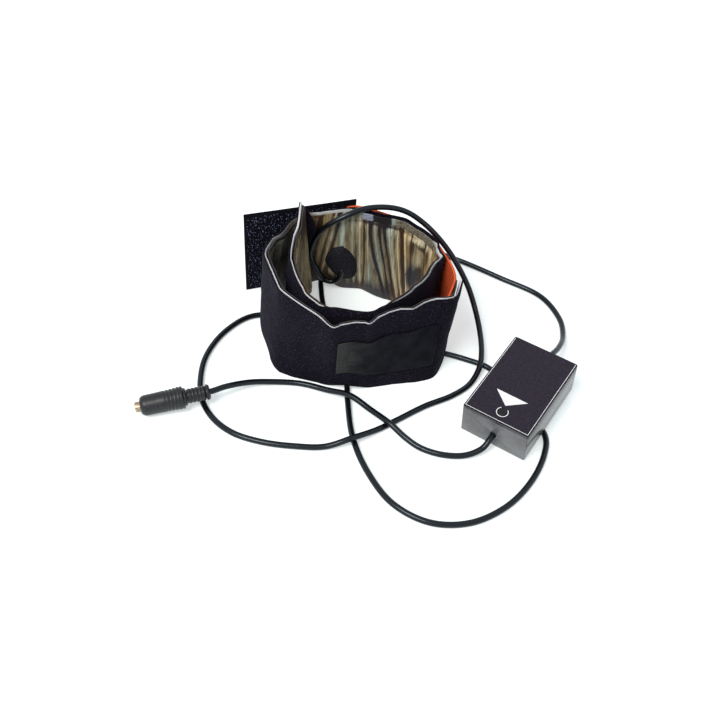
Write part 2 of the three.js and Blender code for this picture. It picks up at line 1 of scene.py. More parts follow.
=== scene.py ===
# Dew heater strip for a telescope tube: a padded fabric strip wound into a
# standing coil, its elastic and hook tab, a control box, two leads and a plug.
# Arrays are in millimetres; a mesh is written in metres.
import bmesh
import bpy
import numpy as np
from mathutils import Matrix


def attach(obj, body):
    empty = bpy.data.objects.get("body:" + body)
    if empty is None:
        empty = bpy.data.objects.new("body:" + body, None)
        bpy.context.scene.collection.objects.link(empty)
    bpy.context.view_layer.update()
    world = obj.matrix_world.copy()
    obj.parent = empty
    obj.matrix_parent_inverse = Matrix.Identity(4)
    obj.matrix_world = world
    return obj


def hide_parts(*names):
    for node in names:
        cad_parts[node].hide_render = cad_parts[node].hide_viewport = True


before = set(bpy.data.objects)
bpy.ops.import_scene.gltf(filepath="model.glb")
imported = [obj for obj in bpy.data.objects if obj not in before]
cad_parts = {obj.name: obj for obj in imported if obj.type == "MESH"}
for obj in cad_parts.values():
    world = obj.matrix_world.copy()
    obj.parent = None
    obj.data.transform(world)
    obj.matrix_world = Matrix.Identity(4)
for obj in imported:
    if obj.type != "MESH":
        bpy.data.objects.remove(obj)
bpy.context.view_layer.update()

scene = bpy.context.scene


# Camera. It looks down at 47 degrees, a little rolled, from 0.37 m above the
# floor and 0.35 m in front of the object.
pitch, roll = np.radians([47.04, 5.48])
level_right = np.array([1, 0, 0])
level_up = np.array([0, np.sin(pitch), np.cos(pitch)])
ahead = np.array([0, np.cos(pitch), -np.sin(pitch)])
camera_right = np.cos(roll) * level_right + np.sin(roll) * level_up
camera_up = -np.sin(roll) * level_right + np.cos(roll) * level_up
camera_place = np.array([-22.5, -347, 365.6]) / 1000
camera = bpy.data.objects.new("camera", bpy.data.cameras.new("camera"))
camera.data.lens = 45
camera.data.sensor_width = 36
camera.data.clip_start = 0.02
camera.matrix_world = Matrix([
    [camera_right[k], camera_up[k], -ahead[k], camera_place[k]] for k in range(3)
] + [[0, 0, 0, 1]])
scene.collection.objects.link(camera)
scene.camera = camera


# Leads. Each is a round black cord, 3.2 mm thick, with two cores in a smooth
# extruded jacket. They lie in loose curves, over and under each other.
def catmull_rom(stations, t):
    """Points of a centripetal Catmull-Rom curve at t, 0 at its first station and
    1 at its last. Between two stations it is the cubic whose slopes come from
    their neighbours, weighed by the square root of the distances."""
    p = np.asarray(stations, float)
    p = np.vstack([2 * p[0] - p[1], p, 2 * p[-1] - p[-2]])
    place = np.clip(t, 0, 1) * (len(p) - 3)
    i = np.minimum(place.astype(int), len(p) - 4)
    w = (place - i)[..., None]
    p0, p1, p2, p3 = p[i], p[i + 1], p[i + 2], p[i + 3]
    d0, d1, d2 = (np.sqrt(np.linalg.norm(b - a, axis=-1))[..., None]
                  for a, b in ((p0, p1), (p1, p2), (p2, p3)))
    slope1 = ((p1 - p0) / d0 - (p2 - p0) / (d0 + d1) + (p2 - p1) / d1) * d1
    slope2 = ((p2 - p1) / d1 - (p3 - p1) / (d1 + d2) + (p3 - p2) / d2) * d1
    return (p1 + slope1 * w + (3 * (p2 - p1) - 2 * slope1 - slope2) * w ** 2
            + (2 * (p1 - p2) + slope1 + slope2) * w ** 3)


def even_points(stations, step):
    """The same curve's points at even steps along its length."""
    dense = catmull_rom(stations, np.linspace(0, 1, len(stations) * 60))
    along = np.append(0, np.cumsum(np.linalg.norm(np.diff(dense, axis=0), axis=1)))
    count = max(2, int(round(along[-1] / step)) + 1)
    places = np.linspace(0, along[-1], count)
    return np.stack([np.interp(places, along, dense[:, k]) for k in range(3)], axis=1)


def unit(vectors):
    """Each vector over its own length."""
    return vectors / np.linalg.norm(vectors, axis=-1, keepdims=True)


def surface(name, points, wrap=False, caps=False, u=None, v=None):
    """Mesh of a grid of points: row i, column j joins its four neighbours. wrap
    closes the columns into a ring, caps closes the first and last ring, and u
    and v are the cloth's own coordinates of the rows and columns."""
    rows, columns = points.shape[:2]
    i, j = np.meshgrid(np.arange(rows - 1), np.arange(columns - (not wrap)), indexing="ij")
    k = (j + 1) % columns
    corners = [(i, j), (i + 1, j), (i + 1, k), (i, k)]
    faces = np.stack([a * columns + b for a, b in corners], axis=-1).reshape(-1, 4).tolist()
    u = np.arange(rows) if u is None else u
    v = np.arange(columns + wrap) if v is None else v
    spots = [(u[i], v[j]), (u[i + 1], v[j]), (u[i + 1], v[j + 1]), (u[i], v[j + 1])]
    uv = np.stack([np.stack(s, axis=-1) for s in spots], axis=-2).reshape(-1, 2)
    if caps:
        first = list(range(columns))
        faces += [first, [(rows - 1) * columns + c for c in first[::-1]]]
        uv = np.vstack([uv, np.stack([np.full(columns, u[0]), v[:columns]], axis=1),
                        np.stack([np.full(columns, u[-1]), v[:columns][::-1]], axis=1)])
    mesh = bpy.data.meshes.new(name)
    mesh.from_pydata((points.reshape(-1, 3) / 1000).tolist(), [], faces)
    layer = mesh.uv_layers.new(name="cloth")
    layer.data.foreach_set("uv", uv.ravel())
    mesh.polygons.foreach_set("use_smooth", np.ones(len(mesh.polygons), bool))
    piece = bpy.data.objects.new(name, mesh)
    scene.collection.objects.link(piece)
    return piece


def swept(path, profile):
    """A closed profile carried along a path. Ring i is path[i] plus the profile's
    first coordinate to the side and its second upwards, square to the path; the
    side is turned from ring to ring by no more than the path itself turns."""
    ahead = unit(np.gradient(path, axis=0))
    side = np.empty_like(ahead)
    side[0] = np.cross(ahead[0], [0, 0, 1]) if abs(ahead[0, 2]) < 0.9 else [1, 0, 0]
    for n in range(1, len(path)):
        side[n] = side[n - 1] - ahead[n] * (side[n - 1] @ ahead[n])
    side = unit(side - ahead * np.sum(side * ahead, axis=1, keepdims=True))
    above = np.cross(side, ahead)
    profile = np.broadcast_to(profile, (len(path),) + np.shape(profile)[-2:])
    return path[:, None] + side[:, None] * profile[..., :1] + above[:, None] * profile[..., 1:]


class Value:
    """A number in a material; arithmetic on it adds Math nodes."""

    def __init__(self, finish, socket):
        self.finish, self.socket = finish, socket

    def math(self, operation, *inputs):
        settings = {"operation": operation}
        return self.finish.node("ShaderNodeMath", settings, dict(enumerate(inputs)))

    def __add__(self, other):
        return self.math("ADD", self, other)

    def __radd__(self, other):
        return self.math("ADD", other, self)

    def __sub__(self, other):
        return self.math("SUBTRACT", self, other)

    def __rsub__(self, other):
        return self.math("SUBTRACT", other, self)

    def __mul__(self, other):
        return self.math("MULTIPLY", self, other)

    def __rmul__(self, other):
        return self.math("MULTIPLY", other, self)

    def between(self, low, high):
        """0 below low, 1 above high, smooth in between; turned round if low > high."""
        flip = low > high
        settings = {"interpolation_type": "SMOOTHSTEP"}
        inputs = {"Value": self, "From Min": min(low, high), "From Max": max(low, high)}
        made = self.finish.node("ShaderNodeMapRange", settings, inputs)
        return 1 - made if flip else made


class Finish:
    """A procedural material on one Principled shader."""

    def __init__(self, name, **sockets):
        self.material = bpy.data.materials.new(name)
        self.material.use_nodes = True
        self.tree = self.material.node_tree
        self.shader = self.tree.nodes["Principled BSDF"]
        self.fill(self.shader, {k.replace("_", " "): v for k, v in sockets.items()})

    def fill(self, made, inputs):
        """Gives a node's sockets their values or links."""
        for key, value in inputs.items():
            socket = made.inputs[key]
            value = value.socket if isinstance(value, Value) else value
            if isinstance(value, bpy.types.NodeSocket):
                self.tree.links.new(value, socket)
            else:
                socket.default_value = value

    def node(self, kind, settings=None, inputs=None, output=0):
        """Adds one node: its settings first, then its sockets; gives an output."""
        made = self.tree.nodes.new(kind)
        for key, value in (settings or {}).items():
            setattr(made, key, value)
        self.fill(made, inputs or {})
        return Value(self, made.outputs[output])

    def place(self, across="uv", scale=(1, 1, 1), turn=(0, 0, 0)):
        """The piece's own coordinates in millimetres: its cloth map or its space."""
        if across == "uv":
            spot = self.node("ShaderNodeUVMap", {"uv_map": "cloth"})
        else:
            spot = self.node("ShaderNodeTexCoord", output="Object")
            scale = [1000 * k for k in scale]
        return self.node("ShaderNodeMapping", None,
                         {"Vector": spot, "Scale": scale, "Rotation": turn})

    def noise(self, spot, scale=1.0, detail=3.0, roughness=0.55, distortion=0.0):
        """Soft random mottle about 0.5."""
        return self.node("ShaderNodeTexNoise", None, {
            "Vector": spot, "Scale": scale, "Detail": detail, "Roughness": roughness,
            "Distortion": distortion}, output="Fac")

    def cells(self, spot, scale=1.0):
        """Distance to the nearest of scattered points."""
        return self.node("ShaderNodeTexVoronoi", None,
                         {"Vector": spot, "Scale": scale}, output="Distance")

    def blend(self, factor, low, high):
        """Colour between low and high. A Mix node's sockets 0, 6 and 7 are its
        factor and its two colours, and its output 2 is the colour."""
        low, high = ((*c, 1) if isinstance(c, tuple) else c for c in (low, high))
        return self.node("ShaderNodeMix", {"data_type": "RGBA"},
                         {0: factor, 6: low, 7: high}, output=2)

    def relief(self, *layers):
        """Bump of (height, depth in millimetres) layers, one on the other."""
        normal = None
        for height, depth in layers:
            inputs = {"Height": height, "Strength": 1.0, "Distance": depth / 1000}
            if normal:
                inputs["Normal"] = normal
            normal = self.node("ShaderNodeBump", None, inputs)
        self.fill(self.shader, {"Normal": normal})

    def paint(self, *pieces):
        """Gives the pieces this finish and no other."""
        for piece in pieces:
            piece.data.materials.clear()
            piece.data.materials.append(self.material)


lead_radius = 1.6
on_floor = 1.65
on_lead = 5.3
power_route = [
    [52.38, -51.22, 9.39], [47.57, -59.49, 8.57], [43.6, -64.1, 5], [35.5, -67.3, 2.2],
    [24, -68, on_floor], [12.5, -65, on_floor], [4.4, -60.2, 2.8], [-3.9, -54.1, on_lead],
    [-14.4, -45.5, 4.6], [-26.4, -37.4, on_lead], [-38, -33.3, 2.9], [-53, -29.4, on_floor],
    [-68.4, -30.6, 2.2], [-80, -35, 5], [-91, -42.3, 8.3], [-97.6, -47.13, 9.15],
    [-121, -55.1, 6.82],
]
heater_route = [
    [-37.9, 49.6, 15.5], [-38.7, 48.9, 10.6], [-41.3, 48.6, 7.2], [-44.8, 48.6, 6.2],
    [-48.3, 48.6, 7.4], [-50.7, 48.6, 10.7], [-54.2, 48.5, 18.2], [-56.7, 48.4, 25.2],
    [-55.9, 48.4, 33], [-52.7, 48.4, 41.4], [-46.6, 48, 49.2],
    [-38.5, 49.7, 54.4], [-28, 54, 57.7], [-14.2, 57.3, 57.7], [-4.3, 57.9, 55.3],
    [5, 55.8, 50.9], [13.4, 51.2, 46.2], [21.8, 47.8, 38.2], [29.3, 44.5, 28.6],
    [35.7, 39.3, 19.5], [40.7, 30.9, 11], [43.8, 18.2, 6.4], [44.6, 3, on_lead],
    [43.4, -7.5, 4.2], [38.5, -17.8, on_floor], [29, -27.4, on_floor], [14, -37, on_floor],
    [0, -48, on_floor], [-9.5, -55.6, 2], [-22.4, -65.6, on_lead], [-36, -70.2, 2],
    [-51, -71.5, on_floor], [-68, -70.8, on_floor], [-83.5, -66.8, on_floor],
    [-95, -58.6, on_floor], [-103, -46.4, on_floor], [-106.5, -31, on_floor],
    [-106.3, -15.5, on_floor], [-100.3, 2.2, on_floor], [-89.5, 16, on_floor],
    [-80.5, 19.9, on_floor], [-66.3, 19, on_floor], [-43, 13.3, on_floor],
    [-14, 8.6, on_floor], [12.5, 5.2, on_floor], [23, 3.4, on_floor], [36, 0.2, on_floor],
    [48.8, -4.7, on_floor], [57, -14.5, on_floor], [68, -31.8, on_floor],
    [77.3, -49.5, on_floor], [76.2, -61, on_floor], [68.5, -79, on_floor],
    [55, -96, on_floor], [37, -107.2, on_floor], [18, -109, on_floor],
    [0, -100.5, on_floor], [-13.5, -83, on_floor], [-22.4, -62.5, on_floor],
    [-27, -38, on_floor], [-28.4, -26.5, on_floor], [-30.4, -19, on_floor], [-36, -1, 2.6],
    [-41.2, 12.9, on_lead], [-45.5, 27, 2.4], [-49, 43, on_floor], [-50.2, 60, on_floor],
    [-42, 79, on_floor], [-22, 91, on_floor], [4, 93.5, on_floor], [30.8, 85.1, on_floor],
    [58.4, 71.4, on_floor], [82.2, 58.1, on_floor], [92, 40.5, on_floor], [92.2, 23.5, 4],
    [87.5, 9, 9.2], [79.16, -5.25, 13.97], [72.84, -16.1, 12.89],
]

jacket = Finish("semi_gloss_cord_jacket", Specular_IOR_Level=0.36)
jacket.fill(jacket.shader, {"Specular Tint": (0.75, 0.88, 1, 1)})
along_jacket = jacket.place(scale=(0.05, 0.4, 1))
scuffs = jacket.noise(along_jacket, 3, 4, 0.6)
dust = jacket.noise(jacket.place(scale=(0.6, 1.6, 1)), 1.5, 3)
jacket.fill(jacket.shader, {
    "Base Color": jacket.blend(
        dust.between(0.62, 0.8) * 0.3, (0.004, 0.004, 0.006), (0.05, 0.05, 0.055)),
    "Roughness": 0.14 + scuffs * 0.16})
jacket.relief((jacket.noise(jacket.place(scale=(0.25, 0.6, 1)), 1.5, 2), 0.05))

sides = 20
around = np.linspace(0, 2 * np.pi, sides, endpoint=False)
ring = lead_radius * np.stack([np.cos(around), np.sin(around)], axis=1)
leads = {}
for name, route in (("power_lead", power_route), ("heater_lead", heater_route)):
    path = even_points(route, 0.9)
    lengths = np.append(0, np.cumsum(np.linalg.norm(np.diff(path, axis=0), axis=1)))
    lead = surface(name + "_jacket", swept(path, ring), wrap=True, caps=True, u=lengths,
                   v=np.linspace(0, 2 * np.pi * lead_radius, sides + 1))
    jacket.paint(lead)
    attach(lead, "heater")
    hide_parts(name)
    leads[name] = (lead, path / 1000, lengths[-1] / 1000)

lead, path, length = leads["heater_lead"]


# Strip. The coil as it stands, from the free outer end on the right, clockwise
# round the outer turn, then the inner turn to its inner end: foot x and y, top
# x and y, and the rise of the top edge above the strip's width.
coil = np.array([
    [22.6, 6, 25.4, 6.1, 0], [20.5, -4, 24, -2.5, 0], [16.5, -12.3, 19.8, -7.8, 0],
    [9, -17.5, 9.5, -13, 0], [-2, -21, -1, -18.5, 0], [-11, -23, -11.5, -23, 0],
    [-20, -25, -19.2, -30, -1.5], [-29, -26.3, -28, -31.3, -1], [-38, -26, -37.5, -33.4, -2.5],
    [-48, -24.3, -46, -27.3, -1], [-58, -21.5, -56, -19, 0], [-65.3, -16, -64.2, -12, 0],
    [-71, -7.5, -70.3, -3, 0], [-76, 3, -75, 6.5, 0], [-79.7, 13, -77, 14.5, 0],
    [-80.5, 24, -75, 24, -0.5], [-77.5, 35, -71.5, 34, -1], [-71, 44, -68.5, 43.5, -1],
    [-62, 50.2, -60.7, 51.4, -0.5], [-51, 54, -50.5, 53.2, 0], [-40, 54.2, -41, 55.7, 0],
    [-28, 53.3, -30, 57.9, 0], [-18, 50, -20, 57, 0], [-7, 46.5, -8.4, 52.6, 0],
    [3, 40.5, 2.8, 46.2, 0], [9.3, 33, 9.2, 39, 0], [12, 24.5, 13.3, 31.5, 0],
    [13, 15.5, 14.9, 22.5, 0.5], [11.6, 6.5, 12.3, 14, 0], [7, -1.5, 7.3, 4.3, 0],
    [-0.5, -9, 0.2, -5.8, 0], [-9, -15, -7.2, -12.6, 0], [-18, -18.5, -15, -19, 0],
    [-28, -20, -23.5, -23.6, 0], [-38, -19.5, -35.5, -23.4, 0], [-48, -16.5, -44.5, -20.8, 0],
    [-56.3, -10.5, -53, -13, 0], [-62, -2, -59, -2, 0], [-65.5, 9, -63, 10, 0],
    [-66.8, 21, -64.8, 22, 0], [-65.3, 32.5, -64.6, 33, 1], [-62, 39, -63.8, 38.8, 4.5],
    [-56.4, 44.3, -63.2, 43.8, 11.2],
])
strip_width = 55
lead_under_fabric = np.array([
    [-80.5, 19.6], [-66.3, 19], [12.5, 5], [19.5, 3.9], [23, 3.3],
    [-28.4, -26.5], [-30.2, -20.5], [-49.8, 54], [-50.3, 60],
])


class StandingRun:
    """A standing run of sheet between a foot line and a top line: point (s, h, n)
    is on the straight line from foot to top at the length s of their middle,
    h / height of the way up, and n out from it. Where a lead passes under, the
    foot rises in a smooth arch, 4.1 mm high and 26 mm from end to end."""

    def __init__(self, foot, top, height):
        self.foot, self.top = np.asarray(foot, float), np.asarray(top, float)
        self.height = height
        self.t = np.linspace(0, 1, 6000)
        self.middle = catmull_rom((self.foot + self.top) / 2, self.t)
        steps = np.linalg.norm(np.diff(self.middle, axis=0), axis=1)
        self.along = np.append(0, np.cumsum(steps))
        self.length = self.along[-1]
        self.ahead = unit(np.gradient(self.middle, axis=0))

    def at(self, s, h, n):
        s, h, n = np.broadcast_arrays(s, h, n)
        t = np.interp(s, self.along, self.t)
        ahead = np.stack([np.interp(t, self.t, self.ahead[:, k]) for k in (0, 1)], axis=-1)
        out = unit(np.stack([-ahead[..., 1], ahead[..., 0]], axis=-1))
        low, high = catmull_rom(self.foot, t), catmull_rom(self.top, t)
        near = np.linalg.norm(low[..., None, :2] - lead_under_fabric, axis=-1).min(axis=-1)
        arch = 4.1 * (1 - np.minimum(near / 13, 1) ** 2) ** 2
        low[..., 2] = np.maximum(low[..., 2], arch)
        point = low + (high - low) * (h / self.height)[..., None]
        point[..., :2] += out * n[..., None]
        return point


def wander(x, y, seed, size_x, size_y):
    """Smooth random heights from -1 to 1: random values on a lattice of size_x by
    size_y, blended with the cosine step between its knots."""
    table = np.random.default_rng(seed).uniform(-1, 1, (97, 89))
    x, y = np.broadcast_arrays(x / size_x + 7, y / size_y + 5)
    i, j = np.floor(x).astype(int), np.floor(y).astype(int)
    fx, fy = ((1 - np.cos(np.pi * (q - k))) / 2 for q, k in ((x, i), (y, j)))
    pick = lambda a, b: table[a % 97, b % 89]
    low = pick(i, j) * (1 - fx) + pick(i + 1, j) * fx
    high = pick(i, j + 1) * (1 - fx) + pick(i + 1, j + 1) * fx
    return low * (1 - fy) + high * fy


def sheet_profile(low, high, inner, outer, step, edge=5):
    """Closed outline of a sheet on edge, as heights, offsets and the length round the outline: up the
    outer face, round the top, down the inner face and round the bottom, with half-round edges."""
    middle, half = (inner + outer) / 2, (outer - inner) / 2
    rise = np.linspace(low + half, high - half, int(round((high - low - 2 * half) / step)) + 1)
    turn = np.linspace(0, np.pi, edge + 2)[1:-1]
    heights = np.concatenate([rise, high - half + half * np.sin(turn), rise[::-1],
                              low + half - half * np.sin(turn)])
    offsets = np.concatenate([np.full(len(rise), outer), middle + half * np.cos(turn),
                              np.full(len(rise), inner), middle - half * np.cos(turn)])
    around = np.append(0, np.cumsum(np.hypot(np.diff(heights), np.diff(offsets))))
    around = np.append(around, around[-1] + half)
    return heights, offsets, around


strip = StandingRun(
    np.column_stack([coil[:, :2], np.zeros(len(coil))]),
    np.column_stack([coil[:, 2:4], strip_width + coil[:, 4]]),
    strip_width,
)
s_fine = np.linspace(0, strip.length, int(strip.length / 1.1))


# How far the top and the bottom edge buckle outwards: pairs of length along the
# strip and millimetres.
top_buckle = np.array([
    (0, 0), (9, 0.2), (13, 0.9), (16, 0.8), (19.5, -0.1), (23.5, -1.4), (27, -1.3),
    (30.5, -0.8), (34.5, 0.6), (37.5, 1.4), (40, 0.6), (43, -0.2), (47, 0.5), (51, 0.7),
    (55, -0.4), (58, 0.2), (60.2, 0.8), (62, -0.3), (65, 0), (69.5, 0.7), (73.7, 0.1),
    (76.5, 1.4), (78, 1.3), (80, 0.6), (83.6, 0.3), (87.5, 0.8), (92, 1.5), (96, 2.1),
    (100.5, 2.5), (105, 2.4), (109.5, 2.2), (114.5, 1.1), (123, 0), (130.5, -0.2), (139, 0.4),
    (145, 0), (152, 0.4), (158, -1.7), (165, -2), (175, -2.4), (187, -2.6), (192, -2.4),
    (195.5, -1.5), (207, -0.7), (214, -1), (221, -2.8), (230, -3), (235.5, -0.9), (241.5, 0.4),
    (249, -1), (255, -0.5), (264, 0.2), (267, 0.3), (270.5, -1), (275, -0.7), (277.7, 0.9),
    (279.5, -0.1), (284, -1.7), (289, -1.6), (294, -0.6), (300, -0.3), (306, -0.8), (309, 0),
    (316, 0.7), (322, 0.9), (327.5, 1.6), (333, 2.9), (336, 2.6), (340, 1.6), (345.6, 1),
    (356, 1.3), (359.3, 1.7), (362.5, 1.1), (366.5, 1.3), (369.5, 1.2), (373, 0.2), (384, 0.1),
    (390, 0), (394.5, 0.3), (399.4, -0.2), (407, -0.9), (413.5, -1), (419.6, -2), (425, -1.5),
    (431, -1.4),
])
bottom_buckle = np.array([
    (0, 0.8), (12, 0.7), (18, 1), (25, 0.3), (33, -0.4), (42, -0.6), (50, 0.3), (56, 1),
    (65, 2.4), (76, 1.2), (84, 0), (95, 0), (102, 1.2), (106, 2.6), (110, 2.6), (116, 1.8),
    (122, 0.5), (136, 0.3), (150, 0), (185, 0), (196, -2), (204, -2.4), (212, -1.7), (218, -0.5),
    (223, -1), (229, -2.2), (234, -2.5), (240, -1.7), (250, 0),
])


def strip_wave(s, h):
    """How far all the strip's layers stand out from its run: the buckled edges,
    fading towards the middle of the width, and slow random waves between them."""
    free = np.minimum(1, s / 15)
    near_top = np.clip((h - 16) / 39, 0, 1) ** 1.6
    near_foot = np.clip((22 - h) / 22, 0, 1) ** 1.6
    slow = 0.45 * wander(s, h, 11, 17, 34) + 0.2 * wander(s, h, 12, 8, 26)
    return (near_top * np.interp(s, *top_buckle.T) + near_foot * np.interp(s, *bottom_buckle.T)
            + free * (1 - near_top) * slow)


# Cover: black pile cloth, cut a little wider than the padding and sewn to it
# along both edges, soft enough to pucker at the seams.
cover_inner, cover_outer = 0.95, 1.65
heights, offsets, around_cover = sheet_profile(0, strip_width, cover_inner, cover_outer, 1.1)
S, H = s_fine[:, None], heights[None, :]
outer_face = (offsets > (cover_inner + cover_outer) / 2)[None, :]
pucker = 0.12 * wander(S, H, 21, 3.2, 9) * (1 - np.clip((strip_width - H) / 8, 0, 1))
crease = 0.18 * wander(S, H, 22, 6, 5) * outer_face
sag = 0.35 * wander(S, H, 23, 11, 60) * np.clip((7 - H) / 7, 0, 1)
rolled = np.interp(S, [320, 329, 351, 358], [0, 1, 1, 0]) * np.clip((H - 52) / 3, 0, 1) ** 2
N = (offsets[None, :] + strip_wave(S, H)
     + (pucker + crease + sag) * outer_face * (1 - rolled) - 1.9 * rolled)
cover = surface("cover_pile", strip.at(S, H + 0.25 * rolled, N), wrap=True, caps=True,
                u=s_fine, v=around_cover)

pile = Finish("black_pile_cloth", Roughness=0.95, Sheen_Weight=0.03, Sheen_Roughness=0.5,
              Specular_IOR_Level=0.1)
pile.fill(pile.shader, {"Sheen Tint": (0.5, 0.45, 0.7, 1)})
cloth = pile.place()
nap = pile.noise(cloth, 0.95, 2, 0.7)
brushed = pile.noise(pile.place(scale=(0.12, 0.05, 1)), 1.0, 3)
lint_spots = pile.cells(cloth, 0.35)
lint = pile.noise(cloth, 5, 2)
tone = pile.blend(brushed.between(0.35, 0.7), (0.002, 0.0016, 0.0026), (0.005, 0.004, 0.0065))
tone = pile.blend(nap.between(0.5, 0.7) * 0.8, tone, (0.03, 0.022, 0.062))
tone = pile.blend(lint_spots.between(0.16, 0.06) * lint.between(0.5, 0.62) * 0.8, tone,
                  (0.16, 0.15, 0.19))
pile.fill(pile.shader, {"Base Color": tone})
pile.relief((nap, 0.28), (pile.noise(cloth, 0.6, 3), 0.25))
pile.paint(cover)
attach(cover, "heater")
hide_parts("cover_cloth")


# Padding between cover and lining: white felt. Only its cut edge shows, as a thin
# line of whipped stitches along the top. It is drawn under on some stretches,
# where the cover closes over it, and stands proud near the inner end.
# Where the edge is drawn under, its whiteness falls to 0.2, painted shade; it is also lower from 145
# to 190 mm along and near the inner end.
edge_shows = np.array([  # length along the strip, rise in mm, thickness share, whiteness
    (0, -0.15, 0.3, 1), (60, -0.1, 0.34, 1), (120, -0.1, 0.34, 1), (140, -0.15, 0.3, 0.85),
    (150, -0.1, 0.35, 0.5), (158, -0.15, 0.3, 0.35), (185, -0.15, 0.3, 0.35),
    (190, -0.1, 0.35, 0.75),
    (210, -0.1, 0.35, 0.7), (218, -1.6, 0.4, 0.2), (262, -1.6, 0.4, 0.2), (267, -0.1, 0.35, 0.8),
    (277, -0.1, 0.35, 0.9), (300, -0.1, 0.3, 0.95), (312, -0.1, 0.3, 0.7), (322, -0.4, 0.3, 0.5),
    (329, -2, 0.3, 0.2), (352, -2, 0.3, 0.2), (358, -0.1, 0.4, 0.8), (366, -0.15, 0.3, 1),
    (395, -0.15, 0.3, 1), (412, 0.1, 0.6, 0.9), (419, 0.5, 1.2, 0.72), (431, 0.5, 1.3, 0.66),
])
core_inner, core_outer = -0.25, 0.65
core_middle = (core_inner + core_outer) / 2
heights, offsets, around_core = sheet_profile(0.5, strip_width, core_inner, core_outer, 2.6)
s_edge = np.linspace(0, strip.length, int(strip.length / 0.45))
S, H = s_edge[:, None], heights[None, :]
rise, thick, white = (
    np.interp(s_edge, edge_shows[:, 0], edge_shows[:, k])[:, None] for k in (1, 2, 3))
at_top = np.clip((H - 53) / 1.4, 0, 1)
stitch_pitch = 1.5
stitch = np.sin(2 * np.pi * S / stitch_pitch)
N = (core_middle + (offsets[None, :] - core_middle) * (1 + at_top * (thick - 1))
     + strip_wave(S, H))
N = N + at_top * (0.05 * stitch + 0.08 * wander(S, H, 31, 5, 50))
H = H + at_top * (rise + 0.05 * stitch + 0.08 * wander(S, H * 0, 32, 4, 50))
core = surface("padding_edge", strip.at(S, H, N), wrap=True, caps=True, u=s_edge, v=around_core)
whiteness = core.data.attributes.new("whiteness", "FLOAT", "POINT")
whiteness.data.foreach_set("value", np.broadcast_to(white, H.shape).ravel())
padding = Finish("white_padding_edge", Roughness=0.85)
thread = padding.noise(padding.place(scale=(1, 1.5, 1)), 1.6, 3)
# The whiteness darkens the edge towards brown, partly as painted shade.
whiteness_and_painted_shade = padding.node("ShaderNodeAttribute", {"attribute_name": "whiteness"}, output="Fac")
padding.fill(padding.shader, {"Base Color": padding.blend(
    whiteness_and_painted_shade * thread.between(0.1, 0.45), (0.12, 0.09, 0.06), (0.86, 0.88, 0.93))})
padding.relief((thread, 0.15))
padding.paint(core)
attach(core, "heater")
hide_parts("insulation_core")


# Lining: thin shiny nylon, olive grey, gathered loosely over the ribbon, so that it hangs
# in folds across the strip, with painted shade in their depths and painted highlights on their
# crests.
# A fold's depth sinks the cloth and also darkens its colour as painted shade; a crest lifts it and
# carries a painted highlight.
deep_folds = [  # length along the strip at the top, middle and foot, half width, depth
    (192.5, 190, 188, 1.3, 0.9), (199.5, 195.5, 192, 0.8, 0.7), (203.4, 200, 196.5, 1.1, 0.9),
    (209.5, 210, 212, 0.5, 0.4), (213.5, 214, 215.5, 0.5, 0.5), (219, 219.5, 219.5, 0.6, 0.8),
    (223.3, 225.3, 233.5, 0.9, 1.1), (228.2, 231, 237, 0.65, 0.9), (231.2, 234.2, 240.5, 0.75, 1),
    (237.2, 239.2, 244.5, 0.45, 0.5), (241.2, 244, 247.8, 1, 1.1), (248.7, 250, 253, 0.45, 0.5),
    (259.5, 262.5, 266, 0.8, 0.6), (394, 396, 398, 0.8, 0.9), (402, 403, 401, 0.6, 0.8),
    (409, 408, 411, 0.9, 1), (416, 417, 416, 0.6, 0.7), (423, 421.5, 423, 0.8, 0.8),
    (399, 408, 416, 0.7, 0.9), (420, 411, 400, 0.7, 0.9),
]
crests = [
    (201.3, 197.8, 194.2, 0.4, 0.5), (206.6, 207.5, 209.5, 0.4, 0.5), (211.5, 212, 213.5, 0.4, 0.4),
    (216.4, 216.6, 217.6, 0.6, 0.6), (221.4, 222, 224, 0.5, 0.6), (225.9, 228.2, 235, 0.45, 0.4),
    (233.8, 236.8, 242.4, 0.4, 0.7), (235.4, 238, 243.5, 0.3, 0.5), (239.3, 241.4, 246.1, 0.4, 0.7),
    (243.4, 246.3, 250, 0.45, 0.9), (251.5, 252.5, 255, 0.3, 0.4), (399, 399.5, 399.5, 0.5, 0.5),
    (405.5, 406, 406.5, 0.6, 0.6), (413, 413, 414, 0.5, 0.6),
]
# Painted shade: soft dark spots in the lining's colour.
painted_shade_spots = [  # length, height, and reach of each way, strength
    (249.6, 42, 2.2, 5.5, 0.75), (263.6, 43, 2, 7, 0.7), (256.5, 45.2, 6, 1.8, 0.6),
    (251.5, 22.5, 4.4, 6.5, 1), (257.5, 28.5, 3.2, 4.5, 0.75), (237, 9, 5, 6, 0.5),
    (150, 20, 18, 60, 0.4), (170, 8, 12, 12, 0.8), (188, 12, 5, 18, 0.4), (197.5, 5, 5, 5, 0.5),
    (218, 2, 32, 6.5, 0.85), (228, 30, 5, 22, 0.25), (232, 52, 3.5, 3, 0.6), (190, 46, 4, 9, 0.5),
    (428, 52, 7, 15, 1), (421, 56, 4, 10, 0.8), (3, 46, 10, 30, 0.9), (231, 49, 22, 1.1, 0.7),
    (400, 34, 1.2, 9, 0.8), (407, 22, 1.5, 10, 0.8), (180, 30, 5, 22, 0.5), (243, 34, 1.4, 12, 0.4),
]
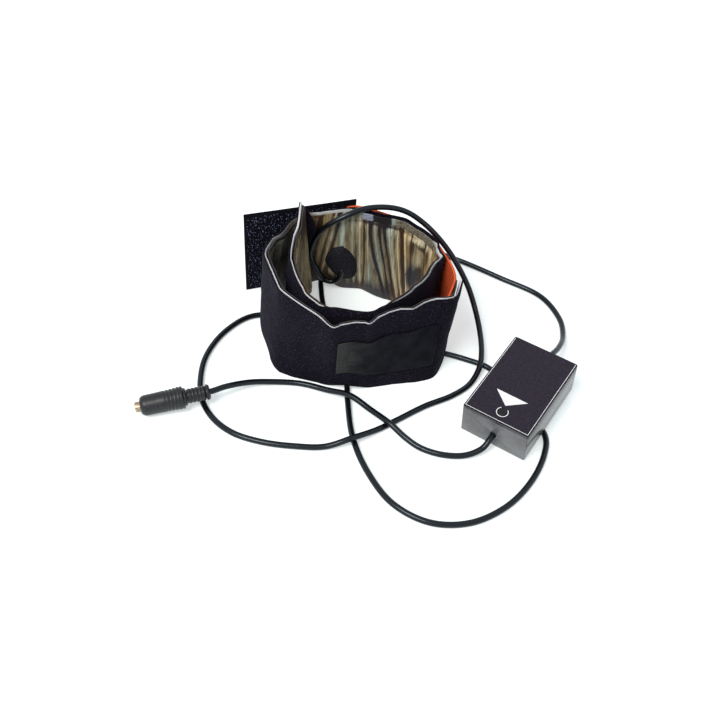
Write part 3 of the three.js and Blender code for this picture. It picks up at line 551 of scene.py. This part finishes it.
# Painted highlights: soft pale spots in the lining's colour, in the same columns.
painted_highlight_spots = [
    (205.7, 41, 0.9, 11, 1.7), (213, 47, 4, 6, 0.4), (235.6, 46.5, 2.6, 5, 0.6),
    (249.5, 47.6, 3.6, 3.4, 1.1), (256, 49, 3.5, 2.6, 0.8), (263, 49.5, 5, 3.4, 0.85),
    (269, 42, 2.5, 10, 0.7), (255.5, 36, 3, 6, 0.35),
    (199.2, 8.5, 2.2, 4, 0.6), (198, 38, 3, 9, 0.3), (169, 42, 3, 10, 1.1), (157, 36, 2, 9, 0.5),
    (222.5, 52.5, 2.6, 1.6, 0.5), (160, 44, 4, 7, 1.2), (154, 38, 3, 9, 0.8),
]


def fold_bells(s, h, folds):
    """Sum over the folds of depth times a bell across it; a fold's course is the
    parabola through its three places at 50, 28 and 6 mm up."""
    t = (h - 28) / 22
    total = 0
    for top, middle, foot, half_width, depth in folds:
        course = middle + (top - foot) / 2 * t + ((top + foot) / 2 - middle) * t ** 2
        total = total + depth * np.exp(-((s - course) / half_width) ** 2)
    return total


def patches(s, h, spots):
    """Sum of soft elliptical spots: strength times a bell of the distance."""
    return sum(strength * np.exp(-((s - at_s) / reach_s) ** 2 - ((h - at_h) / reach_h) ** 2)
               for at_s, at_h, reach_s, reach_h, strength in spots)


def crumple(s, h):
    """Fine sharp wrinkles, 0 to 1: ridges where leaning slow noise crosses zero."""
    lean = s + 3 * wander(s, h, 41, 14, 17) + 1.1 * wander(s, h, 42, 5, 7)
    coarse = 1 - np.abs(wander(lean, h, 43, 4.2, 30))
    fine = 1 - np.abs(wander(lean, h, 44, 1.9, 14))
    return 0.65 * coarse ** 5 + 0.35 * fine ** 3


lining_inner, lining_outer = -1.65, -1.25
heights, offsets, _ = sheet_profile(0.5, 54.5, lining_inner, lining_outer, 1.1, edge=3)
s_lining = np.concatenate([  # finer steps on the back wall and at the inner end, which show
    np.arange(0, 186, 0.9), np.arange(186, 270, 0.36), np.arange(270, 392, 0.9),
    np.linspace(392, strip.length, 90)])
S, H = s_lining[:, None], heights[None, :]
inner_face = np.clip(((lining_inner + lining_outer) / 2 - offsets) / 0.2, 0, 1)[None, :]
under_tape = (np.clip((H - 46) / 3, 0, 1) * np.clip((S - 214) / 3, 0, 1)
              * np.clip((271 - S) / 3, 0, 1))
under_patch = np.exp(-(((S - 206) / 8) ** 2 + ((H - 18.5) / 10) ** 2) ** 2)
hold = (np.clip(H / 5, 0, 1) * np.clip((strip_width - H) / 4, 0, 1)
        * (1 - under_tape) * (1 - under_patch))
lowered = np.interp(S, [318, 329, 352, 360], [0.3, 2, 2, 0.3]) * np.clip((H - 50) / 4.5, 0, 1)
deep = fold_bells(S, H, deep_folds)
crest = fold_bells(S, H, crests)
ruck = crumple(S, H)
fullness = 0.75 + 0.3 * wander(S, H, 45, 3.4, 9) + 0.3 * ruck + 0.5 * crest - 0.75 * deep
N = offsets[None, :] + strip_wave(S, H) - inner_face * hold * np.clip(fullness, 0.05, 1.7)
lining = surface("lining_nylon", strip.at(S, H - lowered, N), wrap=True, caps=True, u=s_lining,
                 v=np.append(heights, heights[0]))
warm = np.interp(S, [150, 186, 199, 204, 212, 219, 223, 236, 240, 246, 250, 270, 300, 400],
                 [0.2, 0.8, 0.8, 0.25, 0.3, 0.6, 0.1, 0.2, 0.8, 1, 0.8, 0.95, 0.6, 0.75])
warm = np.clip(warm + 0.2 * wander(S, H, 46, 6, 14) - patches(S, H, [(252, 23, 6, 8, 0.9)]), 0, 1)
# Painted shade under the hem along the lining's top, less on the back wall.
hem_painted_shade = np.clip((H - 52.2) / 1.2, 0, 1) * np.interp(S, [150, 185, 270, 300], [1, 0.3, 0.3, 1])
# Painted shade: dark in the fold depths, at the listed spots, under the hem, and between the wrinkles
# and crests.
painted_shade = np.clip(deep * 0.95 + patches(S, H, painted_shade_spots) + hem_painted_shade + 0.35 * (1 - ruck) * (1 - crest)
                * np.clip(0.4 + wander(S, H, 47, 2.6, 24), 0, 1), 0, 1)
# Painted highlight: pale on the crests, at the listed spots and on the wrinkles, less in the fold
# depths.
painted_highlight = (np.clip(crest + patches(S, H, painted_highlight_spots) + 0.25 * ruck, 0, 1)
         * (1 - 0.55 * np.clip(deep, 0, 1)))
# Painted shade, painted highlight and warmth go to the material as one vector per point.
painted_light_and_tint = lining.data.attributes.new("painted_light_and_tint", "FLOAT_VECTOR", "POINT")
painted_light_and_tint.data.foreach_set("vector", np.stack(np.broadcast_arrays(painted_shade, painted_highlight, warm), axis=-1).ravel())

nylon = Finish("crinkled_nylon_lining", Specular_IOR_Level=0.5)
painted_light_and_tint_of = nylon.node("ShaderNodeAttribute", {"attribute_name": "painted_light_and_tint"}, output="Vector")
painted_shade_of, painted_highlight_of, warmth_of = (
    nylon.node("ShaderNodeSeparateXYZ", None, {"Vector": painted_light_and_tint_of}, output=k) for k in "XYZ")
streaks = nylon.noise(nylon.place(scale=(0.9, 0.1, 1)), 1.0, 4, 0.6, 0.5)
fibre = nylon.noise(nylon.place(scale=(1.6, 0.5, 1)), 1.0, 3, 0.6, 0.3)
cloth_tone = nylon.blend(warmth_of, (0.215, 0.205, 0.135), (0.36, 0.245, 0.085))
cloth_tone = nylon.blend(streaks.between(0.35, 0.62), (0.12, 0.085, 0.04), cloth_tone)
# Painted highlight and painted shade tones, bluish or brown by the warmth.
painted_highlight_tone = nylon.blend(warmth_of, (0.52, 0.64, 0.6), (0.95, 0.78, 0.5))
painted_shade_tone = nylon.blend(warmth_of, (0.012, 0.012, 0.022), (0.05, 0.022, 0.008))
colour = nylon.blend(painted_highlight_of * streaks.between(0.2, 0.5), cloth_tone, painted_highlight_tone)
colour = nylon.blend((painted_shade_of + (fibre - 0.5) * 0.5).between(0.1, 0.85), colour, painted_shade_tone)
nylon.fill(nylon.shader, {"Base Color": colour, "Roughness": 0.3 + fibre * 0.25})
nylon.relief((streaks, 0.5), (fibre, 0.3))
nylon.paint(lining)
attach(lining, "heater")
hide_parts("lining_cloth")


# Blank label film on the front of the outer turn, paler along its left end.
label_at, label_length, label_height = 47.6, 54, 28
along = np.linspace(-label_length / 2, label_length / 2, 90)
heights, offsets, around_label = sheet_profile(
    -label_height / 2, label_height / 2, 0, 0.35, 0.7, edge=2)
S = label_at + along[:, None]
H = strip_width * 0.47 + heights[None, :] + 0 * S
N = 2.2 + offsets[None, :] + strip_wave(S, H) + 0.06 * wander(S, H, 51, 4, 4)
label = surface("blank_label", strip.at(S, H, N), wrap=True, caps=True, u=along, v=around_label)
film = Finish("dark_label_film", Specular_IOR_Level=0.05)
grain = film.noise(film.place(), 1.4, 3)
cloudy = film.noise(film.place(), 0.12, 3)
spot = film.node("ShaderNodeSeparateXYZ", None, {"Vector": film.place()})
# The label's left end is paler.
paler_share = (spot + cloudy * 16).between(18, 34) * grain.between(0.25, 0.6)
plain = film.blend(cloudy.between(0.35, 0.65), (0.004, 0.004, 0.006), (0.01, 0.01, 0.015))
film.fill(film.shader, {
    "Base Color": film.blend(paler_share, plain, (0.05, 0.052, 0.05)), "Roughness": 0.45 + grain * 0.2})
film.relief((grain, 0.08))
film.paint(label)
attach(label, "heater")
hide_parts("label_patch")


# Grey binding tape, sewn over the top of the lining on the back wall. Left of its middle it is black,
# with a pale bluish stretch at its left end and a narrow pale stretch right of the black.
tape_from, tape_to = 217, 268
heights, offsets, _ = sheet_profile(50.9, 55.1, -2.45, -1.85, 0.35, edge=3)
s_tape = np.linspace(tape_from, tape_to, 170)
S, H = s_tape[:, None], heights[None, :]
ragged = 0.35 * wander(S, H * 0, 62, 2.3, 50) * np.clip((53 - H) / 2, 0, 1)
N = offsets[None, :] + strip_wave(S, H) + 0.16 * wander(S, H, 61, 3, 3)
tape = surface("binding_tape_weave", strip.at(S, H + ragged, N), wrap=True, caps=True,
               u=s_tape, v=np.append(heights, heights[0]))
webbing = Finish("grey_woven_tape", Roughness=0.75, Specular_IOR_Level=0.3)
spot = webbing.node("ShaderNodeSeparateXYZ", None, {"Vector": webbing.place()})
mottle = webbing.noise(webbing.place(scale=(0.5, 0.9, 1)), 1.0, 4, 0.65)
weft = webbing.noise(webbing.place(scale=(3, 0.8, 1)), 1.0, 2)
grey = webbing.blend(mottle.between(0.3, 0.7), (0.06, 0.055, 0.04), (0.25, 0.22, 0.16))
grey = webbing.blend(weft.between(0.5, 0.75) * 0.5, grey, (0.05, 0.045, 0.035))
pale_stretch = (spot + mottle * 2).between(240, 237.5)
grey = webbing.blend(pale_stretch, grey, (0.3, 0.36, 0.33))
grey = webbing.blend((spot + mottle * 3).between(237.5, 236.5), grey, (0.008, 0.008, 0.01))
grey = webbing.blend((spot + mottle * 2).between(226.5, 225), grey, (0.32, 0.35, 0.46))
grey = webbing.blend(mottle.between(0.42, 0.36) * (spot + mottle).between(227, 225), grey,
                     (0.02, 0.02, 0.03))
webbing.fill(webbing.shader, {"Base Color": grey})
webbing.relief((mottle, 0.2), (weft, 0.12))
webbing.paint(tape)
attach(tape, "heater")
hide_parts("binding_tape")


# Inner end's loose corner: the same pile cloth, turned over and standing
# beside the raised corner of the strip.
flap_width = 20
flap_run = StandingRun(
    [[-59.8, 44.5, 37.4], [-58.2, 44.8, 35.6], [-56.6, 44.9, 39.5], [-53.8, 45, 45.4]],
    [[-62.6, 44.4, 64.8], [-60.3, 44.7, 62], [-56.5, 44.8, 56.2], [-53.3, 45, 47.6]], flap_width)
heights, offsets, around_flap = sheet_profile(0, flap_width, -0.55, 0.55, 0.5)
s_flap = np.linspace(0, flap_run.length, 24)
S, H = s_flap[:, None], heights[None, :]
N = offsets[None, :] + 0.5 * np.sin(np.pi * S / flap_run.length) * np.sin(np.pi * H / flap_width)
flap = surface("turned_corner_pile", flap_run.at(S, H, N), wrap=True, caps=True,
               u=s_flap, v=around_flap)
pile.paint(flap)
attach(flap, "heater")
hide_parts("turned_corner")


# Entry patch: moulded black rubber, a low dome over the place where the heater
# lead goes through the lining to the ribbon.
entry_at, entry_height, entry_dome = 206, 18.5, 4.6
entry_outline = np.array([
    [0, 0.53], [-0.27, 0.4], [-0.48, 0.11], [-0.51, -0.09], [-0.32, -0.36], [0, -0.47],
    [0.31, -0.47], [0.46, -0.3], [0.49, 0], [0.3, 0.3],
]) * [18.8, 23.5]
closed = np.vstack([entry_outline, entry_outline[:1]])
edge = catmull_rom(closed, np.linspace(0, 1, 64, endpoint=False))
swing = np.linspace(0.12, 1, 16) * np.pi / 2
share = np.concatenate([[1, 1], np.cos(swing)])
dome_rise = np.concatenate([[0, 0.35], entry_dome * np.sin(swing) ** 0.9])
share[-1] = 0.01
S = entry_at + share[:, None] * edge[None, :, 0]
H = entry_height + share[:, None] * edge[None, :, 1]
N = -1.95 - dome_rise[:, None] + 0.2 * wander(S, H, 71, 4, 4)
patch = surface("entry_patch_rubber", strip.at(S, H, N), wrap=True, caps=True,
                u=share * 9, v=np.linspace(0, 60, 65))
rubber = Finish("matte_moulded_rubber", Specular_IOR_Level=0.2)
skin = rubber.noise(rubber.place("object"), 1.2, 3)
rubber.fill(rubber.shader, {
    "Base Color": rubber.blend(skin.between(0.4, 0.7), (0.006, 0.006, 0.01), (0.022, 0.023, 0.032)),
    "Roughness": 0.7 + skin * 0.2})
rubber.relief((skin, 0.12))
rubber.paint(patch)
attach(patch, "heater")
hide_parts("lead_entry_dome")


# Elastic strap: orange ribbed elastic, 50 mm wide, sewn inside the outer end,
# round the back of the coil, and onto the front of the hook tab.
elastic_back = [[5.2, 48.4], [-5, 55.2], [-14.2, 58.6], [-23, 61.3], [-33, 63.4], [-38, 61.6]]
elastic_foot = [[17.4, -4], [19, 2], [20.4, 7], [21, 14], [19.4, 23.5], [15.8, 32.8], [12, 40.4]]
elastic_top = [[20.1, -4], [22, 3], [23.4, 9], [23, 15], [20.4, 23.5], [16, 32.8], [12, 40.4]]
elastic_width, elastic_lift = 50, 2
elastic_run = StandingRun(
    [[x, y, elastic_lift] for x, y in elastic_foot + elastic_back],
    [[x, y, elastic_lift + elastic_width] for x, y in elastic_top + elastic_back], elastic_width)
heights, offsets, around_elastic = sheet_profile(0, elastic_width, -0.5, 0.5, 0.4, edge=4)
s_elastic = np.linspace(0, elastic_run.length, 110)
S, H = s_elastic[:, None], heights[None, :]
rib_pitch = 2.1
outward = np.sign(offsets)[None, :]
ribs = 0.16 * outward * np.abs(np.sin(np.pi * H / rib_pitch))
N = offsets[None, :] + ribs + 0.3 * wander(S, H, 81, 16, 40)
elastic = surface("ribbed_elastic", elastic_run.at(S, H, N), wrap=True, caps=True,
                  u=s_elastic, v=around_elastic)
stretch = Finish("orange_ribbed_elastic", Roughness=0.85, Specular_IOR_Level=0.15)
yarn = stretch.noise(stretch.place(scale=(2.2, 0.8, 1)), 1.6, 3)
band = stretch.node("ShaderNodeTexWave", {"bands_direction": "Y"}, {
    "Vector": stretch.place(), "Scale": np.pi / rib_pitch / 10, "Distortion": 0.3}, output="Fac")
stretch.fill(stretch.shader, {
    "Base Color": stretch.blend(band.between(0.15, 0.85) * 0.65 + yarn * 0.35,
                                (0.3, 0.022, 0.008), (0.88, 0.15, 0.05))})
stretch.relief((yarn, 0.2), (band, 0.1))
stretch.paint(elastic)
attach(elastic, "heater")
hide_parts("elastic_strap")


# Hook tab: stiff black tape, woven selvedges, its near side covered with rows
# of cut nylon hooks that catch the pile of the cover.
tab_height = 55.5
tab_ends = ((-93.4, 41.4), (-33.3, 65.4))
tab_run = StandingRun([[x, y, 0] for x, y in tab_ends], [[x, y, tab_height] for x, y in tab_ends],
                      tab_height)
heights, offsets, around_tab = sheet_profile(0, tab_height, -0.5, 0.45, 0.7)
s_tab = np.linspace(0, tab_run.length, 80)
S, H = s_tab[:, None], heights[None, :]
N = offsets[None, :] + 0.35 * wander(S, H, 91, 25, 30)
tab = surface("hook_tab_tape", tab_run.at(S, H, N), wrap=True, caps=True, u=s_tab, v=around_tab)
tape_black = Finish("black_hook_tape", Roughness=0.9, Specular_IOR_Level=0.1)
weave = tape_black.noise(tape_black.place(), 2.4, 2)
tape_black.fill(tape_black.shader, {
    "Base Color": tape_black.blend(weave.between(0.45, 0.75),
                                   (0.003, 0.003, 0.005), (0.014, 0.013, 0.024))})
tape_black.relief((weave, 0.3))
tape_black.paint(tab)
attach(tab, "heater")
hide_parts("hook_tab")

# A hook is a tapered three-sided stem of five rings, which rises from the tape
# and bends over by 2.6 radians. Each stands a little off its place in the rows.
hook_pitch, hook_bend, hook_rings, hook_sides = 1.35, 2.6, 5, 3
hook_rows = np.arange(2.5, 53.5, hook_pitch)
hook_columns = np.arange(2, 57, hook_pitch)
S, H = np.meshgrid(hook_columns, hook_rows, indexing="ij")
luck = np.random.default_rng(7)
S = (S + luck.uniform(-0.6, 0.6, S.shape)).ravel()
H = (H + luck.uniform(-0.6, 0.6, H.shape)).ravel()
keep = luck.uniform(0, 1, S.shape) < 0.93
S, H = S[keep], H[keep]
bend = np.linspace(0, 1, hook_rings)[None, :, None]
ring = np.linspace(0, 2 * np.pi, hook_sides, endpoint=False)[None, None, :]
thick = 0.15 * (1 - 0.3 * bend)
lean_s = luck.uniform(-0.35, 0.35, S.shape)[:, None, None]
hook_s = S[:, None, None] + lean_s * bend + thick * np.cos(ring)
hook_h = H[:, None, None] + 0.55 * (1 - np.cos(bend * hook_bend)) / 2 + thick * np.sin(ring)
hook_n = 0.4 + 0.75 * np.sin(bend * hook_bend) + 0.35 * wander(hook_s, hook_h, 91, 25, 30)
hook_points = tab_run.at(hook_s, hook_h, -hook_n)
grid = np.arange(hook_rings * hook_sides).reshape(hook_rings, hook_sides)
turned_grid = np.roll(grid, -1, 1)
quads = np.stack([grid[:-1], turned_grid[:-1], turned_grid[1:], grid[1:]], axis=-1).reshape(-1, 4)
starts = grid.size * np.arange(len(S))[:, None]
faces = (quads[None] + starts[:, :, None]).reshape(-1, 4).tolist()
tips, roots = (grid[-1] + starts).tolist(), (grid[0][::-1] + starts).tolist()
hook_mesh = bpy.data.meshes.new("hooks")
hook_mesh.from_pydata((hook_points.reshape(-1, 3) / 1000).tolist(), [], faces + tips + roots)
hooks = bpy.data.objects.new("hooks", hook_mesh)
scene.collection.objects.link(hooks)
nylon_hook = Finish("cut_nylon_hooks", Roughness=0.4, Specular_IOR_Level=0.3)
glint = nylon_hook.noise(nylon_hook.place("object"), 1.1, 2)
nylon_hook.fill(nylon_hook.shader, {
    "Base Color": nylon_hook.blend(glint.between(0.48, 0.6),
                                   (0.006, 0.006, 0.014), (0.34, 0.4, 0.7))})
nylon_hook.paint(hooks)
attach(hooks, "heater")


# Control box: a moulded black shell and lid with slightly broken edges. They
# are the solids of the frame, merged and given a small bevel.
def softened(node, name, width, body="heater"):
    """A copy of a node's mesh with its doubles merged, its flat faces joined and
    its edges broken by a bevel of the given width in millimetres."""
    source = bpy.data.objects[node]
    mesh = source.data.copy()
    shape = bmesh.new()
    shape.from_mesh(mesh)
    bmesh.ops.remove_doubles(shape, verts=shape.verts, dist=1e-6)
    bmesh.ops.dissolve_limit(shape, angle_limit=0.02, verts=shape.verts, edges=shape.edges)
    shape.to_mesh(mesh)
    shape.free()
    piece = bpy.data.objects.new(name, mesh)
    scene.collection.objects.link(piece)
    bevel = piece.modifiers.new("broken_edges", "BEVEL")
    bevel.width = width / 1000
    bevel.segments = 2
    bevel.limit_method = "ANGLE"
    bevel.angle_limit = np.radians(40)
    bevel.harden_normals = True
    mesh.polygons.foreach_set("use_smooth", np.ones(len(mesh.polygons), bool))
    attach(piece, body)
    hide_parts(node)
    return piece


shell = softened("case_shell", "box_shell", 0.3)
lid = softened("case_lid", "box_lid", 0.22)
# The shell's mid-grey base colour is partly painted glare on its black plastic; the lid stays black.
for name, piece, low, high in (
        ("satin_box_plastic", shell, (0.108, 0.1, 0.1), (0.15, 0.147, 0.162)),
        ("dark_lid_plastic", lid, (0.009, 0.008, 0.008), (0.022, 0.019, 0.018))):
    moulded = Finish(name, Specular_IOR_Level=0.6)
    grain = moulded.noise(moulded.place("object"), 2.6, 2)
    rub = moulded.noise(moulded.place("object"), 0.12, 4)
    moulded.fill(moulded.shader, {
        "Specular Tint": (0.88, 0.92, 1, 1),
        "Base Color": moulded.blend(rub.between(0.35, 0.7), low, high),
        "Roughness": 0.16 + rub * 0.12 + grain * 0.06})
    moulded.relief((grain, 0.03))
    moulded.paint(piece)


# Printed film on the lid: near black with a purple cast, and on it a thin white
# frame line, an arrow that points at the button, and an open ring round it.
box_axes = np.array([
    [0.86108, -0.50631, 0.04680], [0.50154, 0.86088, 0.08571], [-0.08368, -0.05034, 0.99522]])
box_place = np.array([63.27297, -33.26209, 3.27571])
lid_film = bpy.data.objects["lid_label"]
print_film = Finish("printed_lid_film", Specular_IOR_Level=0.25)
speck = print_film.noise(print_film.place("object"), 1.1, 2, 0.7)
print_film.fill(print_film.shader, {
    "Base Color": print_film.blend(speck.between(0.4, 0.7),
                                   (0.009, 0.006, 0.012), (0.026, 0.016, 0.038)),
    "Roughness": 0.3 + speck * 0.15})
print_film.paint(lid_film)


def on_lid(x, y, z):
    """Point x across, y along and z above the box's underside: its place plus the
    three coordinates along its three axes."""
    return box_place + np.stack([x, y, z], axis=-1) @ box_axes


def printed(name, inner, outer, close):
    """Flat printed shape between two outlines of the same count of points."""
    top, under = 20.03, 20.0
    if close:
        inner, outer = (np.vstack([line, line[:1]]) for line in (inner, outer))
    lines = [(outer, under), (outer, top), (inner, top), (inner, under)]
    points = np.stack([on_lid(*line.T, np.full(len(line), z)) for line, z in lines], axis=1)
    mark = surface(name, points, wrap=True, caps=not close)
    mark.data.polygons.foreach_set("use_smooth", np.zeros(len(mark.data.polygons), bool))
    return mark


ink = Finish("white_print", Roughness=0.5)
fade = ink.noise(ink.place("object"), 0.8, 3)
ink.fill(ink.shader, {"Base Color": ink.blend(
    fade.between(0.4, 0.8), (0.93, 0.93, 0.95), (0.85, 0.86, 0.89))})
frame_x, frame_y, line_width = 17.7, 27.1, 0.26
corners = np.array([[-1, 1], [-1, -1], [1, -1], [1, 1]])
frame_line = printed("lid_frame_line", corners * [frame_x - line_width, frame_y - line_width],
                     corners * [frame_x, frame_y], False)
arrow_out = np.array([[-9.3, -9.4], [8.6, -9.4], [-0.3, -16.9]])
arrow_middle = arrow_out.mean(axis=0)
arrow = printed("lid_arrow", arrow_middle + (arrow_out - arrow_middle) * 0.02, arrow_out, True)
sweep = np.radians(np.linspace(128, 412, 72))
circle = np.stack([np.cos(sweep), np.sin(sweep)], axis=1)
button_middle = np.array([0.3, -21.2])
ring = printed("lid_ring", button_middle + circle * 2.75, button_middle + circle * 3.15, False)
ink.paint(frame_line, arrow, ring)
for mark in (frame_line, arrow, ring):
    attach(mark, "heater")


# Push button: a smooth black cap with a rounded rim, which travels half a
# millimetre into the lid.
cap = softened("push_button", "button_cap", 0.35, "button")
smooth = Finish("smooth_black_cap", Specular_IOR_Level=0.2)
paler_share = smooth.noise(smooth.place("object"), 0.9, 3)
smooth.fill(smooth.shader, {
    "Base Color": smooth.blend(paler_share, (0.006, 0.006, 0.008), (0.02, 0.02, 0.024)),
    "Roughness": 0.18 + paler_share * 0.18})
smooth.paint(cap)


# Inside the box: a solder-masked board on four screws, moulded components, a
# sleeved capacitor, nylon ties and the four cores of the leads.
def plain_finish(name, low, high, rough, scale, metallic):
    """Two close tones mixed by noise in the piece's own space, with a fine relief."""
    made = Finish(name, Metallic=metallic)
    mottle = made.noise(made.place("object"), scale, 3)
    made.fill(made.shader, {
        "Base Color": made.blend(mottle.between(0.3, 0.7), low, high),
        "Roughness": rough + mottle * 0.15})
    made.relief((mottle, 0.03))
    return made


inside = {  # two tones, roughness, grain per mm, metallic, the nodes with this finish
    "solder_mask": ((0.01, 0.09, 0.03), (0.02, 0.16, 0.05), 0.3, 0.7, 0, ["circuit_board"]),
    "zinc_screws": ((0.5, 0.5, 0.52), (0.7, 0.7, 0.7), 0.25, 2, 1,
                    ["board_screw_1", "board_screw_2", "board_screw_3", "board_screw_4"]),
    "component_body": ((0.012, 0.012, 0.014), (0.03, 0.03, 0.032), 0.4, 1.5, 0,
                       ["button_switch", "microcontroller", "voltage_regulator", "power_transistor",
                        "plug_insulator"]),
    "capacitor_sleeve": ((0.015, 0.03, 0.14), (0.03, 0.06, 0.22), 0.3, 1, 0, ["smoothing_capacitor"]),
    "nylon_tie": ((0.62, 0.6, 0.54), (0.8, 0.79, 0.74), 0.4, 1, 0,
                  ["power_lead_tie", "heater_lead_tie"]),
    "red_core": ((0.35, 0.015, 0.01), (0.55, 0.03, 0.02), 0.35, 1, 0,
                 ["power_core_red", "heater_core_red"]),
    "black_core": ((0.01, 0.01, 0.012), (0.03, 0.03, 0.03), 0.35, 1, 0,
                   ["power_core_black", "heater_core_black"]),
    "ribbon_alloy": ((0.5, 0.48, 0.44), (0.68, 0.66, 0.62), 0.3, 1, 1, ["heating_ribbon"]),
    "nickel_plating": ((0.26, 0.18, 0.11), (0.5, 0.42, 0.32), 0.3, 0.8, 1, ["plug_barrel"]),
    "contact_plating": ((0.5, 0.36, 0.15), (0.7, 0.52, 0.25), 0.25, 0.8, 1, ["plug_contact"]),
}
for name, (low, high, rough, scale, metallic, nodes) in inside.items():
    finish = plain_finish(name, low, high, rough, scale, metallic)
    for node in nodes:
        finish.paint(bpy.data.objects[node])


# Plug: a black moulded body round a plated barrel, with fine grip ribs towards
# its tail, and a soft boot of rings at the lead.
plug_ahead = np.array([0.94245, 0.32084, 0.09411])
plug_side = unit(np.cross([0, 0, 1], plug_ahead))
plug_above = np.cross(plug_ahead, plug_side)
plug_place = np.array([-130.7, -58.4, 5.85])


def turned(name, profile):
    """Body of revolution: a closed profile of (along, radius) points, turned about
    the plug's axis."""
    turn = np.linspace(0, 2 * np.pi, 56, endpoint=False)
    around = np.cos(turn)[:, None] * plug_side + np.sin(turn)[:, None] * plug_above
    along, radius = np.vstack([profile, profile[:1]]).T[..., None, None]
    return surface(name, plug_place + along * plug_ahead + radius * around, wrap=True)


def grooves(along):
    """Narrow round grooves, 0 to 1: the square of a raised cosine of rib_pitch."""
    return (0.5 - 0.5 * np.cos(2 * np.pi * along / rib_pitch)) ** 2


bore = 1.9
rib_pitch = 1.85
tail = np.linspace(0, 1, 220)
body_along = 1.4 + 20.9 * tail
waist = np.interp(body_along, [1.4, 7, 15, 18, 19.6, 20.6, 21.4, 22.3],
                  [5.4, 5.45, 5.7, 5.95, 6.05, 5.85, 5, 4.4])
gripped = np.clip((body_along - 11) / 1.5, 0, 1)
body_radius = waist - gripped * 0.34 * grooves(body_along)
body_profile = np.vstack([
    [[7.3, 3.05], [-1.2, 3.05], [-1.2, 3.6], [-0.95, 4.2], [-0.45, 4.75], [0.3, 5.15]],
    np.column_stack([body_along, body_radius]), [[22.3, bore], [9.3, bore]]])
plug_body = turned("plug_body", body_profile[::-1])
tail = np.linspace(0, 1, 160)
boot_along = 22.6 + 12 * tail
collar = np.clip((boot_along - 32.4) / 0.4, 0, 1)
boot_radius = 3.95 + 0.12 * collar - 0.4 * (1 - collar) * grooves(boot_along)
boot_radius = boot_radius - 0.5 * np.exp(-((boot_along - 32.2) / 0.25) ** 2)
boot_radius = boot_radius - 1.1 * np.clip((boot_along - 33.4) / 1.2, 0, 1) ** 2.5
boot_profile = np.vstack([
    [[22.6, bore]], np.column_stack([boot_along, boot_radius]), [[34.6, bore]]])
boot = turned("plug_boot_rings", boot_profile[::-1])
moulded_plug = Finish("moulded_plug_black", Specular_IOR_Level=0.4)
grain = moulded_plug.noise(moulded_plug.place("object"), 1.6, 3)
moulded_plug.fill(moulded_plug.shader, {
    "Base Color": moulded_plug.blend(grain.between(0.4, 0.75),
                                     (0.006, 0.006, 0.008), (0.028, 0.027, 0.032)),
    "Roughness": 0.34 + grain * 0.1})
moulded_plug.relief((grain, 0.03))
moulded_plug.paint(plug_body, boot)
for piece, node, slot in ((plug_body, "plug_shell", "plug_black"),
                          (boot, "plug_boot", "rubber_black")):
    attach(piece, "heater")
    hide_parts(node)

lead, path, length = leads["power_lead"]


# Floor and light: a plain white floor, an even sky, and one large soft lamp
# above and to the left of the camera.
reach = 3000
floor_corners = reach * np.array([[[-1, -1, 0], [-1, 1, 0]], [[1, -1, 0], [1, 1, 0]]])
floor = surface("floor", floor_corners)


def background_rays(finish):
    """1 for a ray from the camera, off a gloss or through glass, else 0: the
    greatest of Light Path's three outputs for them."""
    seen = finish.node("ShaderNodeLightPath", output="Is Camera Ray")
    for kind in ("Is Glossy Ray", "Is Transmission Ray"):
        ray = finish.node("ShaderNodeLightPath", output=kind)
        seen = seen.math("MAXIMUM", seen, ray)
    return seen


paper = Finish("white_paper", Roughness=0.9, Specular_IOR_Level=0.1)
fibre = paper.noise(paper.place("object", scale=(0.01, 0.01, 0.01)), 4, 3)
paper.fill(paper.shader, {
    "Base Color": paper.blend(fibre, (0.84, 0.93, 0.945), (0.81, 0.9, 0.915)),
    "Emission Color": (1, 1, 1, 1), "Emission Strength": background_rays(paper) * 0.4})
paper.paint(floor)


class Sky(Finish):
    """An even sky, on one Background shader."""

    def __init__(self, name):
        self.material = bpy.data.worlds.new(name)
        self.material.use_nodes = True
        self.tree = self.material.node_tree
        self.shader = self.tree.nodes["Background"]


sky = Sky("even_sky")
sky.fill(sky.shader, {"Color": (0.93, 0.975, 1, 1), "Strength": background_rays(sky) * 0.45 + 0.55})
scene.world = sky.material

lamp = bpy.data.objects.new("key_lamp", bpy.data.lights.new("key_lamp", "AREA"))
lamp.data.shape = "DISK"
lamp.data.size = 0.55
lamp.data.energy = 11
lamp.data.color = (1, 0.965, 0.91)
lamp_place = np.array([-0.45, -0.6, 1.0])
lamp_target = np.array([-0.01, 0, 0.02])
lamp_back = unit(lamp_place - lamp_target)
lamp_right = unit(np.cross([0, 0, 1], lamp_back))
lamp_up = np.cross(lamp_back, lamp_right)
lamp.matrix_world = Matrix([
    [lamp_right[k], lamp_up[k], lamp_back[k], lamp_place[k]] for k in range(3)] + [[0, 0, 0, 1]])
scene.collection.objects.link(lamp)

scene.view_settings.view_transform = "Standard"
bpy.context.view_layer.update()
